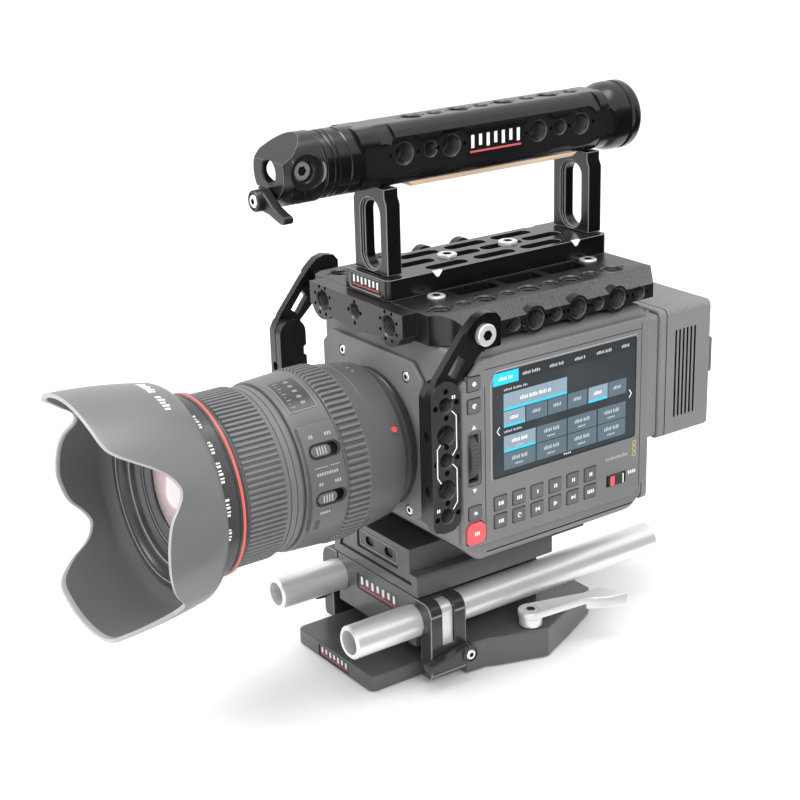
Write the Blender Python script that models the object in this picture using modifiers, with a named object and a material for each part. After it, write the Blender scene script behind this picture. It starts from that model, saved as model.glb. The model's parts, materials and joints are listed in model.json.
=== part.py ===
"""Cinema camera rig: a box camera with a zoom lens in a cage with a top handle and a rod baseplate.

Metres, +Z up. The lens looks along -Y. X = 0 is the lens's vertical plane and Z = 0 is the resting face.
"""
import math

import bmesh
import bpy
from mathutils import Matrix, Vector

# Driving dimensions
GAP = 0.0003
LENS_Z = 0.1055
ROD_RADIUS = 0.0075
ROD_WALL = 0.002
ROD_SPACING = 0.060
ROD_Z = 0.0281
ROD_Y = (-0.068, 0.1065)

PLATE_HALF = 0.0305
PLATE_Y = (-0.057, 0.055)
PLATE_TOP = 0.0076
BLOCK_Y = (-0.014, 0.067)
BLOCK_TOP = 0.0145
LOCK_PIVOT = (0.045, 0.021)
LOCK_ARM_Z = (0.0193, 0.0225)

BRIDGE_Y = (-0.033, 0.044)
BRIDGE_TOP = 0.0392
JAW_Y = (-0.0335, -0.0143)
JAW_OUTER = 0.043
JAW_SCREW_Z = 0.0135
CHANNEL_TOP = 0.0495
CAMERA_PLATE_TOP = 0.0600

CASE_X = (-0.0415, 0.0562)
CASE_Y = (-0.0275, 0.0775)
CASE_Z = (0.0603, 0.1570)
CASE_WALL = 0.003
PANEL_X = (0.0565, 0.0592)
PANEL_Y = (-0.0272, 0.077)
PANEL_Z = (0.0700, 0.1530)
SCREEN_Y = (-0.0112, 0.0696)
SCREEN_Z = (0.0983, 0.1456)
KEY_SIZE = (0.0065, 0.0060)
KEY_FIRST_Y = -0.0074
KEY_PITCH = 0.0101
KEY_ROWS = (0.0872, 0.0790)
KEY_COLUMNS = 6
SIDE_COLUMN_Y = -0.021
WHEEL_RADIUS = 0.012
WHEEL_WIDTH = 0.0044
WHEEL_CENTRE = (0.0494, SIDE_COLUMN_Y, 0.1105)

FRONT_PLATE_Y = (-0.030, -0.0278)
MOUNT_RADIUS = 0.0315
BATTERY_X = (-0.037, 0.045)
BATTERY_PLATE_Y = (0.0778, 0.0967)
BATTERY_Y = (0.0970, 0.1298)
BATTERY_Z = (0.0855, 0.1475)

TOP_Z = (0.1576, 0.1705)
TOP_HALF = 0.057
TOP_FLAT_HALF = 0.045
TOP_Y = (-0.031, 0.0905)
FLANGE_Y = (-0.0387, -0.0305)
FLANGE_HALF = 0.035
BRACKET_X = (0.0576, 0.0620)
BRACKET_FOOT_X = 0.0533

RISER_HALF = 0.0168
RISER_Y = (-0.0328, 0.090)
RISER_Z = (0.1708, 0.1799)
POST_HALF = 0.0121
FRONT_POST_Y = (-0.0292, -0.0219)
REAR_POST_Y = (0.0823, 0.0899)
POST_NECK_Z = 0.2130
HANDLE_Z = 0.2300
HANDLE_RADIUS = 0.0145
TUBE_HALF = 0.0135
TUBE_FLAT = 0.0062
HANDLE_BOTTOM = 0.2175
HANDLE_Y = (-0.0580, 0.1058)
GRIP_Y = (-0.008, 0.080)
GRIP_Z = (0.2156, 0.2215)
HEAD_Y = (-0.0774, -0.0583)
END_CAP_Y = (0.1061, 0.1115)

TURN_STEPS = 40


# Scene and materials
for old in list(bpy.data.objects):
    bpy.data.objects.remove(old, do_unlink=True)

scene_root = bpy.context.scene.collection
parts = bpy.data.collections.new("cinema_camera_rig")
cutters = bpy.data.collections.new("cutters")
scene_root.children.link(parts)
scene_root.children.link(cutters)


def material(name, color, roughness, metallic):
    """A Principled material with one colour, roughness and metallic value."""
    made = bpy.data.materials.new(name)
    made.use_nodes = True
    shader = made.node_tree.nodes["Principled BSDF"]
    shader.inputs["Base Color"].default_value = (*color, 1.0)
    shader.inputs["Roughness"].default_value = roughness
    shader.inputs["Metallic"].default_value = metallic
    return made


MATERIALS = {
    "black_anodised": ((0.012, 0.012, 0.013), 0.28, 0.9),
    "grey_anodised": ((0.11, 0.11, 0.115), 0.45, 0.7),
    "camera_body": ((0.12, 0.12, 0.125), 0.6, 0.1),
    "camera_dark": ((0.05, 0.05, 0.055), 0.55, 0.1),
    "key_plastic": ((0.09, 0.09, 0.095), 0.5, 0.0),
    "record_red": ((0.8, 0.08, 0.09), 0.4, 0.0),
    "screen": ((0.03, 0.04, 0.05), 0.15, 0.0),
    "lens_black": ((0.10, 0.10, 0.105), 0.5, 0.2),
    "lens_rubber": ((0.09, 0.09, 0.09), 0.75, 0.0),
    "lens_glass": ((0.35, 0.30, 0.33), 0.05, 0.0),
    "hood_plastic": ((0.13, 0.13, 0.135), 0.6, 0.0),
    "silver": ((0.75, 0.75, 0.76), 0.28, 1.0),
    "wood": ((0.62, 0.42, 0.25), 0.5, 0.0),
    "circuit_board": ((0.02, 0.12, 0.05), 0.5, 0.0),
    "battery_plastic": ((0.11, 0.11, 0.115), 0.55, 0.0),
}
for slot, (tint, rough, metal) in MATERIALS.items():
    MATERIALS[slot] = material(slot, tint, rough, metal)


# Making shapes
def add_object(name, mesh, mat=None):
    """Link a mesh as a part, or as a cutter when it has no material."""
    obj = bpy.data.objects.new(name, mesh)
    if mat is None:
        cutters.objects.link(obj)
        obj.hide_render = True
        obj.display_type = "WIRE"
    else:
        parts.objects.link(obj)
        obj.data.materials.append(MATERIALS[mat])
    return obj


def set_origin(obj, point):
    """Move the object's origin to a world point without moving its shape."""
    point = Vector(point)
    obj.data.transform(Matrix.Translation(obj.location - point))
    obj.location = point


def bevel(obj, width, segments=1, angle=30):
    """Round or chamfer the object's sharp edges."""
    mod = obj.modifiers.new("Bevel", "BEVEL")
    mod.width = width
    mod.segments = segments
    mod.limit_method = "ANGLE"
    mod.angle_limit = math.radians(angle)


def boolean(obj, other, operation):
    """Cut or join another object."""
    mod = obj.modifiers.new(operation.title(), "BOOLEAN")
    mod.operation = operation
    mod.object = other
    mod.solver = "EXACT"


def box_mesh(bounds):
    """One mesh of boxes, each given as ((x0, x1), (y0, y1), (z0, z1))."""
    bm = bmesh.new()
    for spans in bounds:
        centre = Vector([(low + high) / 2 for low, high in spans])
        size = [high - low for low, high in spans]
        matrix = Matrix.Translation(centre) @ Matrix.Diagonal((*size, 1.0))
        bmesh.ops.create_cube(bm, size=1.0, matrix=matrix)
    mesh = bpy.data.meshes.new("box")
    bm.to_mesh(mesh)
    bm.free()
    return mesh


def box(name, x, y, z, mat=None):
    """A box from its spans along X, Y and Z, with its origin at its centre."""
    obj = add_object(name, box_mesh([(x, y, z)]), mat)
    set_origin(obj, [(low + high) / 2 for low, high in (x, y, z)])
    return obj


AXIS_TURN = {
    "X": Matrix.Rotation(math.radians(90), 4, "Y"),
    "Y": Matrix.Rotation(math.radians(90), 4, "X"),
    "Z": Matrix.Identity(4),
}


def cylinder_mesh(rods, segments):
    """One mesh of cylinders, each given as (centre, axis, radius, length)."""
    bm = bmesh.new()
    for centre, axis, radius, length in rods:
        matrix = Matrix.Translation(Vector(centre)) @ AXIS_TURN[axis]
        bmesh.ops.create_cone(
            bm, cap_ends=True, segments=segments, radius1=radius, radius2=radius, depth=length, matrix=matrix)
    mesh = bpy.data.meshes.new("cylinder")
    bm.to_mesh(mesh)
    bm.free()
    return mesh


def drill(obj, rods, segments=12):
    """Cut a set of round holes, each given as (centre, axis, radius, length)."""
    boolean(obj, add_object(obj.name + "_drill", cylinder_mesh(rods, segments)), "DIFFERENCE")


def mill(obj, bounds, suffix="_mill"):
    """Cut a set of boxes that don't touch each other."""
    boolean(obj, add_object(obj.name + suffix, box_mesh(bounds)), "DIFFERENCE")


def arc(centre, radius, start, end, count):
    """Points on an arc, with angles in degrees."""
    points = []
    for step in range(count + 1):
        angle = math.radians(start + (end - start) * step / count)
        points.append((centre[0] + radius * math.cos(angle), centre[1] + radius * math.sin(angle)))
    return points


def rounded(u, v, radius, count=3):
    """A rounded rectangle from its spans."""
    inner = [(u[1] - radius, v[1] - radius), (u[0] + radius, v[1] - radius),
             (u[0] + radius, v[0] + radius), (u[1] - radius, v[0] + radius)]
    points = []
    for index, centre in enumerate(inner):
        points += arc(centre, radius, 90 * index, 90 * index + 90, count)
    return points


# Outline axes to world axes, by the direction of extrusion
OUTLINE_AXES = {
    "X": Matrix(((0, 0, 1, 0), (1, 0, 0, 0), (0, 1, 0, 0), (0, 0, 0, 1))),
    "Y": Matrix(((1, 0, 0, 0), (0, 0, -1, 0), (0, 1, 0, 0), (0, 0, 0, 1))),
    "Z": Matrix.Identity(4),
}


def extruded(name, loops, axis, span, mat=None):
    """A flat outline with its holes, extruded along an axis between the span's ends."""
    curve = bpy.data.curves.new(name, "CURVE")
    curve.dimensions = "2D"
    curve.fill_mode = "BOTH"
    curve.extrude = (span[1] - span[0]) / 2
    for loop in loops:
        spline = curve.splines.new("POLY")
        spline.points.add(len(loop) - 1)
        spline.use_cyclic_u = True
        for point, (u, v) in zip(spline.points, loop):
            point.co = (u, v, 0.0, 1.0)
    drawn = bpy.data.objects.new(name + "_outline", curve)
    cutters.objects.link(drawn)
    bpy.context.view_layer.update()
    mesh = bpy.data.meshes.new_from_object(drawn.evaluated_get(bpy.context.evaluated_depsgraph_get()))
    bpy.data.objects.remove(drawn)
    bm = bmesh.new()
    bm.from_mesh(mesh)
    bmesh.ops.remove_doubles(bm, verts=bm.verts, dist=0.000001)
    if len(loops) == 1:
        bmesh.ops.dissolve_limit(bm, angle_limit=0.001, verts=bm.verts, edges=bm.edges)
    bmesh.ops.recalc_face_normals(bm, faces=bm.faces)
    bm.to_mesh(mesh)
    bm.free()
    mesh.transform(OUTLINE_AXES[axis])
    middle = Vector([(span[0] + span[1]) / 2 if letter == axis else 0.0 for letter in "XYZ"])
    mesh.transform(Matrix.Translation(middle))
    return add_object(name, mesh, mat)


def smooth(obj, angle=35):
    """Shade the round faces smooth and keep the edges sharp."""
    obj.data.shade_smooth()
    obj.data.set_sharp_from_angle(angle=math.radians(angle))


def turned(name, profile, mat=None, centre=(0.0, LENS_Z), steps=TURN_STEPS):
    """A turned piece about a Y axis through centre (x, z).

    The profile's points are (y, radius). It runs from the front along the outer side to the back and
    returns along the inner side. A profile that starts and ends on the axis is left open there.
    """
    solid = profile[0][1] == 0.0
    count = len(profile)
    edges = [(index, index + 1) for index in range(count - 1)]
    if not solid:
        edges.append((count - 1, 0))
    mesh = bpy.data.meshes.new(name)
    mesh.from_pydata([(radius, 0.0, -y) for y, radius in profile], edges, [])
    obj = add_object(name, mesh, mat)
    obj.location = (centre[0], 0.0, centre[1])
    obj.rotation_euler = (math.radians(90), 0.0, 0.0)
    mod = obj.modifiers.new("Screw", "SCREW")
    mod.steps = steps
    mod.render_steps = steps
    mod.use_merge_vertices = True
    mod.merge_threshold = 0.00001
    mod.use_smooth_shade = False
    return obj


# Baseplate
def make_tripod_plate():
    """The flat plate that screws to a tripod and slides in the clamp block."""
    loop = rounded((-PLATE_HALF, PLATE_HALF), PLATE_Y, 0.006)
    plate = extruded("tripod_plate", [loop], "Z", (0.0, PLATE_TOP), "grey_anodised")
    bevel(plate, 0.0007, angle=60)
    holes = [((0.0, y, PLATE_TOP / 2), "Z", radius, 0.02) for y, radius in ((-0.028, 0.0044), (0.026, 0.0032))]
    drill(plate, holes)


def make_clamp_block():
    """The wide quick-release block, with a groove for the tripod plate."""
    right = [(0.0426, BLOCK_Y[0]), (0.0434, -0.0026), (0.0454, 0.0015), (0.053, 0.025), (0.043, 0.047),
             (0.033, BLOCK_Y[1])]
    left = [(-0.033, BLOCK_Y[1]), (-0.043, 0.047), (-0.0434, -0.0026), (-0.0426, BLOCK_Y[0])]
    block = extruded("clamp_block", [right + left], "Z", (GAP, BLOCK_TOP), "grey_anodised")
    groove = PLATE_HALF + GAP
    mill(block, [((-groove, groove), (-0.05, 0.1), (-0.01, PLATE_TOP + GAP))])
    drill(block, [((*LOCK_PIVOT, BLOCK_TOP), "Z", 0.0043, 0.016)])
    bevel(block, 0.0008, angle=50)


def make_lock_lever():
    """The long silver lever that locks the tripod plate: arm, paddle, hub and shaft in one piece."""
    px, py = LOCK_PIVOT
    outline = arc((px, py), 0.0058, 165, 352, 8) + [
        (0.0528, 0.0470), (0.0582, 0.0566), (0.0605, 0.0663), (0.0477, 0.0596), (0.0470, 0.0500)]
    lever = extruded("lock_lever", [outline], "Z", LOCK_ARM_Z, "silver")
    shaft = cylinder_mesh([((px, py, 0.0138), "Z", 0.0040, 0.0130)], 16)
    boolean(lever, add_object("lock_lever_shaft", shaft), "UNION")
    paddle_outline = [(0.0528, 0.0485), (0.0582, 0.0566), (0.0605, 0.0663), (0.0477, 0.0596), (0.0474, 0.0517)]
    paddle = extruded("lock_lever_paddle", [paddle_outline], "Z", (0.0168, 0.0224))
    boolean(lever, paddle, "UNION")
    set_origin(lever, (px, py, LOCK_ARM_Z[0]))


def make_rod(name, side):
    """A hollow 15 mm rod."""
    inner = ROD_RADIUS - ROD_WALL
    front, back = ROD_Y
    chamfer = 0.0008
    profile = [(front, ROD_RADIUS - chamfer), (front + chamfer, ROD_RADIUS), (back - chamfer, ROD_RADIUS),
               (back, ROD_RADIUS - chamfer), (back, inner), (front, inner)]
    turned(name, profile, "silver", (side * ROD_SPACING / 2, ROD_Z), 24)


def rod_bores(length=0.3):
    """Cylinders slightly wider than the rods, along both rods."""
    return [((side * ROD_SPACING / 2, 0.0, ROD_Z), "Y", ROD_RADIUS + GAP, length) for side in (-1, 1)]


def make_bridge_block():
    """The block between the rods: its front carries the rods' inner halves."""
    core = 0.0218
    wide = 0.0305
    low = BLOCK_TOP + GAP
    outline = [(-wide, BRIDGE_Y[0]), (wide, BRIDGE_Y[0]), (wide, JAW_Y[1]), (core, JAW_Y[1] + 0.001),
               (core, BRIDGE_Y[1]), (-core, BRIDGE_Y[1]), (-core, JAW_Y[1] + 0.001), (-wide, JAW_Y[1])]
    block = extruded("bridge_block", [outline], "Z", (low, BRIDGE_TOP), "grey_anodised")
    drill(block, rod_bores(), 24)


def make_jaw(name, side):
    """The outer half of a rod clamp, with a window onto the rod and a foot."""
    inner, foot = 0.0309, 0.0352
    outline = [(foot, 0.0030), (JAW_OUTER - 0.001, 0.0030), (JAW_OUTER, 0.0050), (JAW_OUTER, 0.0337)]
    outline += arc((JAW_OUTER - 0.0055, 0.0337), 0.0055, 0, 80, 3)
    outline += [(inner, BRIDGE_TOP), (inner, 0.0281), (foot, 0.0225)]
    outline = [(side * u, v) for u, v in outline]
    jaw = extruded(name, [outline], "Y", JAW_Y, "grey_anodised")
    drill(jaw, [rod_bores()[0 if side < 0 else 1]], 24)
    x = sorted((side * 0.0345, side * 0.050))
    mill(jaw, [(x, (-0.0272, -0.0202), (0.0180, 0.0500))])


def make_jaw_lever(name, side):
    """The thumb lever on its screw, which pulls the jaw against the rod."""
    y = -0.0165
    inner = side * (JAW_OUTER + GAP)
    outer = side * (JAW_OUTER + 0.0070)
    span = sorted((inner, outer))
    outline = arc((y, JAW_SCREW_Z), 0.0042, -80, 95, 6) + [
        (-0.0300, 0.0150), (-0.0385, 0.0133), (-0.0385, 0.0105), (-0.0300, 0.0095)]
    lever = extruded(name, [outline], "X", span, "grey_anodised")
    bevel(lever, 0.0006, angle=50)
    set_origin(lever, (outer, y, JAW_SCREW_Z))


def make_bridge_plate():
    """The plate over the rods, with a rail at each side that grips the camera plate."""
    low = BRIDGE_TOP + GAP
    section = [(-0.033, low), (0.033, low), (0.033, CHANNEL_TOP - 0.001), (0.032, CHANNEL_TOP),
               (0.0265, CHANNEL_TOP), (0.0285, 0.0440), (-0.0285, 0.0440), (-0.0265, CHANNEL_TOP),
               (-0.032, CHANNEL_TOP), (-0.033, CHANNEL_TOP - 0.001)]
    extruded("bridge_plate", [section], "Y", BRIDGE_Y, "grey_anodised")


def make_camera_plate():
    """The wedge plate under the camera, held between the rails."""
    base = 0.0440 + GAP
    section = [(-0.0280, base), (0.0280, base), (0.0258, CHANNEL_TOP + GAP), (0.0258, CAMERA_PLATE_TOP),
               (-0.0258, CAMERA_PLATE_TOP), (-0.0258, CHANNEL_TOP + GAP)]
    extruded("camera_plate", [section], "Y", (-0.032, 0.068), "grey_anodised")


def make_base():
    """Everything under the camera."""
    make_tripod_plate()
    make_clamp_block()
    make_lock_lever()
    make_bridge_block()
    make_bridge_plate()
    make_camera_plate()
    for side, word in ((-1, "left"), (1, "right")):
        make_rod("rod_" + word, side)
        make_jaw("rod_jaw_" + word, side)
        make_jaw_lever("jaw_lever_" + word, side)


# Camera
def key_centres():
    """The keys' names and centres on the side panel, as (name, y, z)."""
    keys = []
    for row, z in enumerate(KEY_ROWS):
        for column in range(KEY_COLUMNS):
            keys.append((f"key_{row + 1}_{column + 1}", KEY_FIRST_Y + column * KEY_PITCH, z))
    return keys


SIDE_BUTTONS = [
    ("menu_button", SIDE_COLUMN_Y, 0.1436),
    ("assist_button", SIDE_COLUMN_Y, 0.1340),
    ("photo_button", SIDE_COLUMN_Y, 0.0862),
]
RECORD_CENTRE = (-0.0208, 0.0770)
RECORD_HALF = 0.0048
SWITCH_CENTRE = (0.0586, 0.0806)
SWITCH_SIZE = (0.0080, 0.0050)


def span(centre, size):
    """The two ends of a length around a centre."""
    return (centre - size / 2, centre + size / 2)


def make_case():
    """The camera's casing: a shell that is open at the side panel and round the lens mount."""
    section = rounded(CASE_X, CASE_Z, 0.005, 2)
    case = extruded("camera_case", [section], "Y", CASE_Y, "camera_body")
    wall = CASE_WALL
    mill(case, [((CASE_X[0] + wall, 0.08), (CASE_Y[0] + wall, CASE_Y[1] - wall),
                 (CASE_Z[0] + wall, CASE_Z[1] - wall))])
    drill(case, [((0.0, CASE_Y[0], LENS_Z), "Y", 0.0245, 0.02)], 24)


def make_side_panel():
    """The bezel panel, with openings for the screen, keys, wheel and switch."""
    chamfer = 0.011
    (y0, y1), (z0, z1) = PANEL_Y, PANEL_Z
    outline = [(y0, z0 + 0.001), (y0 + 0.001, z0), (y1 - 0.002, z0), (y1, z0 + 0.002), (y1, z1 - 0.002),
               (y1 - 0.002, z1), (y0 + chamfer, z1), (y0, z1 - chamfer)]
    panel = extruded("side_panel", [outline], "X", PANEL_X, "camera_body")
    clear = 2 * GAP
    through = (0.05, 0.065)
    openings = [(through, SCREEN_Y, SCREEN_Z)]
    for _, y, z in key_centres() + SIDE_BUTTONS:
        openings.append((through, span(y, KEY_SIZE[0] + clear), span(z, KEY_SIZE[1] + clear)))
    openings.append((through, span(SWITCH_CENTRE[0], 0.0116), span(SWITCH_CENTRE[1], SWITCH_SIZE[1] + clear)))
    openings.append((through, span(WHEEL_CENTRE[1], WHEEL_WIDTH + clear), span(WHEEL_CENTRE[2], 0.0202)))
    mill(panel, openings)
    record = RECORD_HALF + GAP
    outline = [(RECORD_CENTRE[0] + u, RECORD_CENTRE[1] + v) for u, v in record_outline(record)]
    boolean(panel, extruded("side_panel_record", [outline], "X", through), "DIFFERENCE")


def record_outline(half):
    """The record button's outline, with two cut corners, about its own centre."""
    cut = half * 0.55
    return [(-half, -half), (half - cut, -half), (half, -half + cut), (half, half - cut), (half - cut, half),
            (-half + cut, half), (-half, half - cut)]


def make_controls():
    """The screen, the keys, the buttons, the wheel and the switch."""
    back = PANEL_X[0] + 0.0004
    screen = box("touch_screen", (back, PANEL_X[1] - 0.0003), (SCREEN_Y[0] + GAP, SCREEN_Y[1] - GAP),
                 (SCREEN_Z[0] + GAP, SCREEN_Z[1] - GAP), "screen")
    bevel(screen, 0.0002)
    face = PANEL_X[1] + 0.0007
    for name, y, z in key_centres() + SIDE_BUTTONS:
        key = box(name, (back, face), span(y, KEY_SIZE[0]), span(z, KEY_SIZE[1]), "key_plastic")
        bevel(key, 0.0004)
    outline = [(RECORD_CENTRE[0] + u, RECORD_CENTRE[1] + v) for u, v in record_outline(RECORD_HALF)]
    record = extruded("record_button", [outline], "X", (back, face + 0.0005), "record_red")
    set_origin(record, (face, *RECORD_CENTRE))
    box("lock_switch", (back, face), span(SWITCH_CENTRE[0], SWITCH_SIZE[0]),
        span(SWITCH_CENTRE[1], SWITCH_SIZE[1]), "record_red")
    x, y, z = WHEEL_CENTRE
    wheel = add_object("jog_wheel", cylinder_mesh([(WHEEL_CENTRE, "Y", WHEEL_RADIUS, WHEEL_WIDTH)], 32),
                       "camera_dark")
    set_origin(wheel, (x, y, z))


def make_front():
    """The front plate with the mount opening, and the lens mount ring."""
    cut = 0.007
    x0, x1, z0, z1 = -0.040, 0.0355, 0.0740, 0.1470
    outline = [(x0, z0 + cut), (x0 + cut, z0), (x1 - cut, z0), (x1, z0 + cut), (x1, z1 - cut),
               (x1 - cut, z1), (x0 + cut, z1), (x0, z1 - cut)]
    opening = arc((0.0, LENS_Z), 0.0245, 0, 345, 23)
    plate = extruded("front_plate", [outline, opening], "Y", FRONT_PLATE_Y, "camera_body")
    bevel(plate, 0.0008, angle=60)
    front = FRONT_PLATE_Y[0] - GAP
    turned("mount_ring", [(front - 0.0026, MOUNT_RADIUS - 0.0006), (front - 0.002, MOUNT_RADIUS),
                          (front, MOUNT_RADIUS), (front, 0.0247), (front - 0.0026, 0.0247)], "silver")


def make_insides():
    """The sensor module behind the mount and the main board."""
    sensor = box("sensor_module", (-0.022, 0.022), (-0.020, -0.010), (LENS_Z - 0.017, LENS_Z + 0.017),
                 "camera_dark")
    mill(sensor, [((-0.0155, 0.0155), (-0.03, -0.0175), (LENS_Z - 0.0095, LENS_Z + 0.0095))])
    box("main_board", (-0.034, 0.034), (0.030, 0.0316), (0.068, 0.148), "circuit_board")


def make_battery():
    """The battery plate, the battery with its vent slots and the latch button."""
    plate_section = rounded((-0.040, 0.0555), (0.0640, 0.1540), 0.003, 2)
    plate = extruded("battery_plate", [plate_section], "Y", (BATTERY_PLATE_Y[0], 0.0810), "camera_dark")
    step_loop = rounded((BATTERY_X[0] + 0.001, BATTERY_X[1] - 0.001), (0.0870, 0.1460), 0.002, 2)
    boolean(plate, extruded("battery_plate_step", [step_loop], "Y", (0.0800, BATTERY_PLATE_Y[1])), "UNION")
    battery = extruded("battery", [rounded(BATTERY_X, BATTERY_Z, 0.003, 2)], "Y", BATTERY_Y,
                       "battery_plastic")
    slots = []
    for index in range(6):
        y = 0.1075 + index * 0.0024
        slots.append(((BATTERY_X[1] - 0.0012, 0.06), span(y, 0.0011), (0.0945, 0.1370)))
    mill(battery, slots)
    latch = box("battery_latch", (0.0330, 0.0430), (BATTERY_Y[1] + GAP, BATTERY_Y[1] + 0.0033),
                (0.1110, 0.1280), "key_plastic")
    bevel(latch, 0.0006)


def make_camera():
    """The camera body with everything on it and in it."""
    make_case()
    make_side_panel()
    make_controls()
    make_front()
    make_insides()
    make_battery()


# Lens
SLEEVE_OUTER = 0.0338
RING_INNER = 0.0342
SLEEVE_FRONT = -0.1165


def make_lens_barrel():
    """The fixed barrel: a wide rear part and the sleeve that carries the rings."""
    turned("lens_barrel", [
        (SLEEVE_FRONT, SLEEVE_OUTER), (-0.0573, SLEEVE_OUTER), (-0.0573, 0.0374), (-0.0470, 0.0363),
        (-0.0383, 0.0349), (-0.0355, 0.0318), (-0.0333, 0.0315), (-0.0333, 0.0190), (-0.0450, 0.0190),
        (-0.0450, 0.0318), (SLEEVE_FRONT, 0.0318)], "lens_black")


def make_rings():
    """The zoom ring, the switch barrel and the focus ring."""
    turned("zoom_ring", [(-0.0700, 0.0380), (-0.0690, 0.0386), (-0.0585, 0.0386), (-0.0576, 0.0380),
                         (-0.0576, RING_INNER), (-0.0700, RING_INNER)], "lens_rubber")
    barrel = turned("switch_barrel", [
        (-0.0892, 0.0366), (-0.0880, 0.0371), (-0.0710, 0.0380), (-0.0703, 0.0374), (-0.0703, RING_INNER),
        (-0.0892, RING_INNER)], "lens_black")
    centre = (0.0, LENS_Z)
    sector = arc(centre, SWITCH_PANEL_RADIUS, -28, 42, 8) + arc(centre, 0.0350, 42, -28, 8)
    boolean(barrel, extruded("switch_barrel_panel", [sector], "Y", (-0.0885, -0.0712)), "UNION")
    for name, angle in (("focus_switch", FOCUS_SWITCH_ANGLE), ("stabiliser_switch", STABILISER_SWITCH_ANGLE)):
        pocket = radial_box(SWITCH_POCKET_RADIUS, 0.06, 0.0026, angle)
        boolean(barrel, extruded(name + "_pocket", [pocket], "Y", LENS_SWITCH_SLOT_Y), "DIFFERENCE")
        outline = radial_box(SWITCH_POCKET_RADIUS + GAP, SWITCH_PANEL_RADIUS + 0.0003, 0.0023, angle)
        length = (LENS_SWITCH_SLOT_Y[0] + GAP, LENS_SWITCH_SLOT_Y[0] + 0.0096)
        bevel(extruded(name, [outline], "Y", length, "lens_black"), 0.0003)
    turned("focus_ring", [
        (-0.1170, 0.0366), (-0.1160, 0.0373), (-0.0980, 0.0373), (-0.0970, 0.0360), (-0.0905, 0.0360),
        (-0.0895, 0.0354), (-0.0895, RING_INNER), (-0.1170, RING_INNER)], "lens_rubber")


SWITCH_PANEL_RADIUS = 0.0397
SWITCH_POCKET_RADIUS = 0.0372
FOCUS_SWITCH_ANGLE = 25
STABILISER_SWITCH_ANGLE = -4
LENS_SWITCH_SLOT_Y = (-0.0860, -0.0728)


def radial_box(inner, outer, half, angle):
    """A rectangle that stands out from the lens axis at an angle in degrees."""
    turn = math.radians(angle)
    out, side = (math.cos(turn), math.sin(turn)), (-math.sin(turn), math.cos(turn))
    return [(radius * out[0] + across * side[0], LENS_Z + radius * out[1] + across * side[1])
            for radius, across in ((inner, -half), (outer, -half), (outer, half), (inner, half))]


def make_front_group():
    """The extending front barrel, its glass and the petal hood."""
    turned("front_barrel", [
        (-0.1380, 0.0386), (-0.1375, 0.0392), (-0.1310, 0.0392), (-0.1305, 0.0389), (-0.1175, 0.0389),
        (-0.1175, 0.0314), (-0.0750, 0.0314), (-0.0750, 0.0296), (-0.1240, 0.0296), (-0.1260, 0.0255),
        (-0.1330, 0.0255), (-0.1365, 0.0345), (-0.1380, 0.0350)], "lens_black")
    glass_front = []
    for step in range(7):
        radius = 0.0251 * step / 6
        glass_front.append((-0.1318 - 0.0040 * (1 - (radius / 0.0251) ** 2), radius))
    turned("front_glass", glass_front + [(-0.1262, 0.0251), (-0.1262, 0.0)], "lens_glass")
    make_hood()


HOOD_WALL = 0.0018
HOOD_STEPS = 64
HOOD_ROWS = 9
"""The front edge in millimetres at angles round the axis: long petals above and below, short ones at the sides."""
HOOD_EDGE = [
    (-180, -159.9), (-173, -158.9), (-165, -156.5), (-158, -151.7), (-152, -149.6), (-146, -151.8), (-142, -155.2),
    (-137, -162.0), (-130, -168.7), (-125, -171.2), (-119, -171.8), (-90, -172.0), (-66, -172.4), (-60, -171.4),
    (-55, -165.8), (-50, -157.0), (-46, -150.6), (-41, -148.2), (-36, -149.8), (-30, -153.2), (-23, -156.2),
    (-12, -158.6), (0, -158.8), (11, -156.4), (18, -151.9), (22, -149.7), (26, -149.4), (32, -152.4), (37, -157.6),
    (42, -164.4), (47, -170.4), (52, -173.4), (63, -174.6), (83, -175.0), (100, -174.8), (117, -173.6),
    (123, -171.6), (130, -166.6), (137, -160.6), (142, -155.6), (147, -151.4), (152, -150.6), (158, -155.0),
    (166, -158.8), (180, -159.9)]
HOOD_PROFILE = [(-177.0, 50.2), (-160.0, 49.5), (-150.0, 48.6), (-140.0, 47.1), (-132.5, 45.3)]


def between(knots, value):
    """A value from a list of (position, value) knots."""
    for (x0, y0), (x1, y1) in zip(knots, knots[1:]):
        if value <= x1:
            return y0 + (y1 - y0) * (max(value, x0) - x0) / (x1 - x0)
    return knots[-1][1]


def make_hood():
    """The petal hood: an open surface of rows round the lens axis, given its wall by Solidify."""
    bm = bmesh.new()
    bmesh.ops.create_grid(bm, x_segments=HOOD_STEPS, y_segments=HOOD_ROWS, size=1.0)
    for vert in bm.verts:
        angle = math.pi * (vert.co.x + 1.0)
        row = round((vert.co.y + 1.0) / 2.0 * HOOD_ROWS)
        if row < 4:
            y, radius = ((-0.1375, 0.0417), (-0.1303, 0.0417), (-0.1303, 0.0439), (-0.1325, 0.0453))[row]
        else:
            degrees = math.degrees(angle)
            edge = between(HOOD_EDGE, degrees - 360 if degrees > 180 else degrees) / 1000
            y = -0.1325 + (edge + 0.1325) * (row - 3) / (HOOD_ROWS - 3)
            radius = between(HOOD_PROFILE, y * 1000) / 1000
        vert.co = (radius * math.cos(angle), y, LENS_Z + radius * math.sin(angle))
    bmesh.ops.remove_doubles(bm, verts=bm.verts, dist=0.00001)
    bmesh.ops.recalc_face_normals(bm, faces=bm.faces)
    mesh = bpy.data.meshes.new("hood")
    bm.to_mesh(mesh)
    bm.free()
    hood = add_object("hood", mesh, "hood_plastic")
    set_origin(hood, (0.0, -0.1318, LENS_Z))
    mod = hood.modifiers.new("Solidify", "SOLIDIFY")
    mod.thickness = HOOD_WALL
    mod.offset = 0.0
    smooth(hood, 40)


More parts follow.
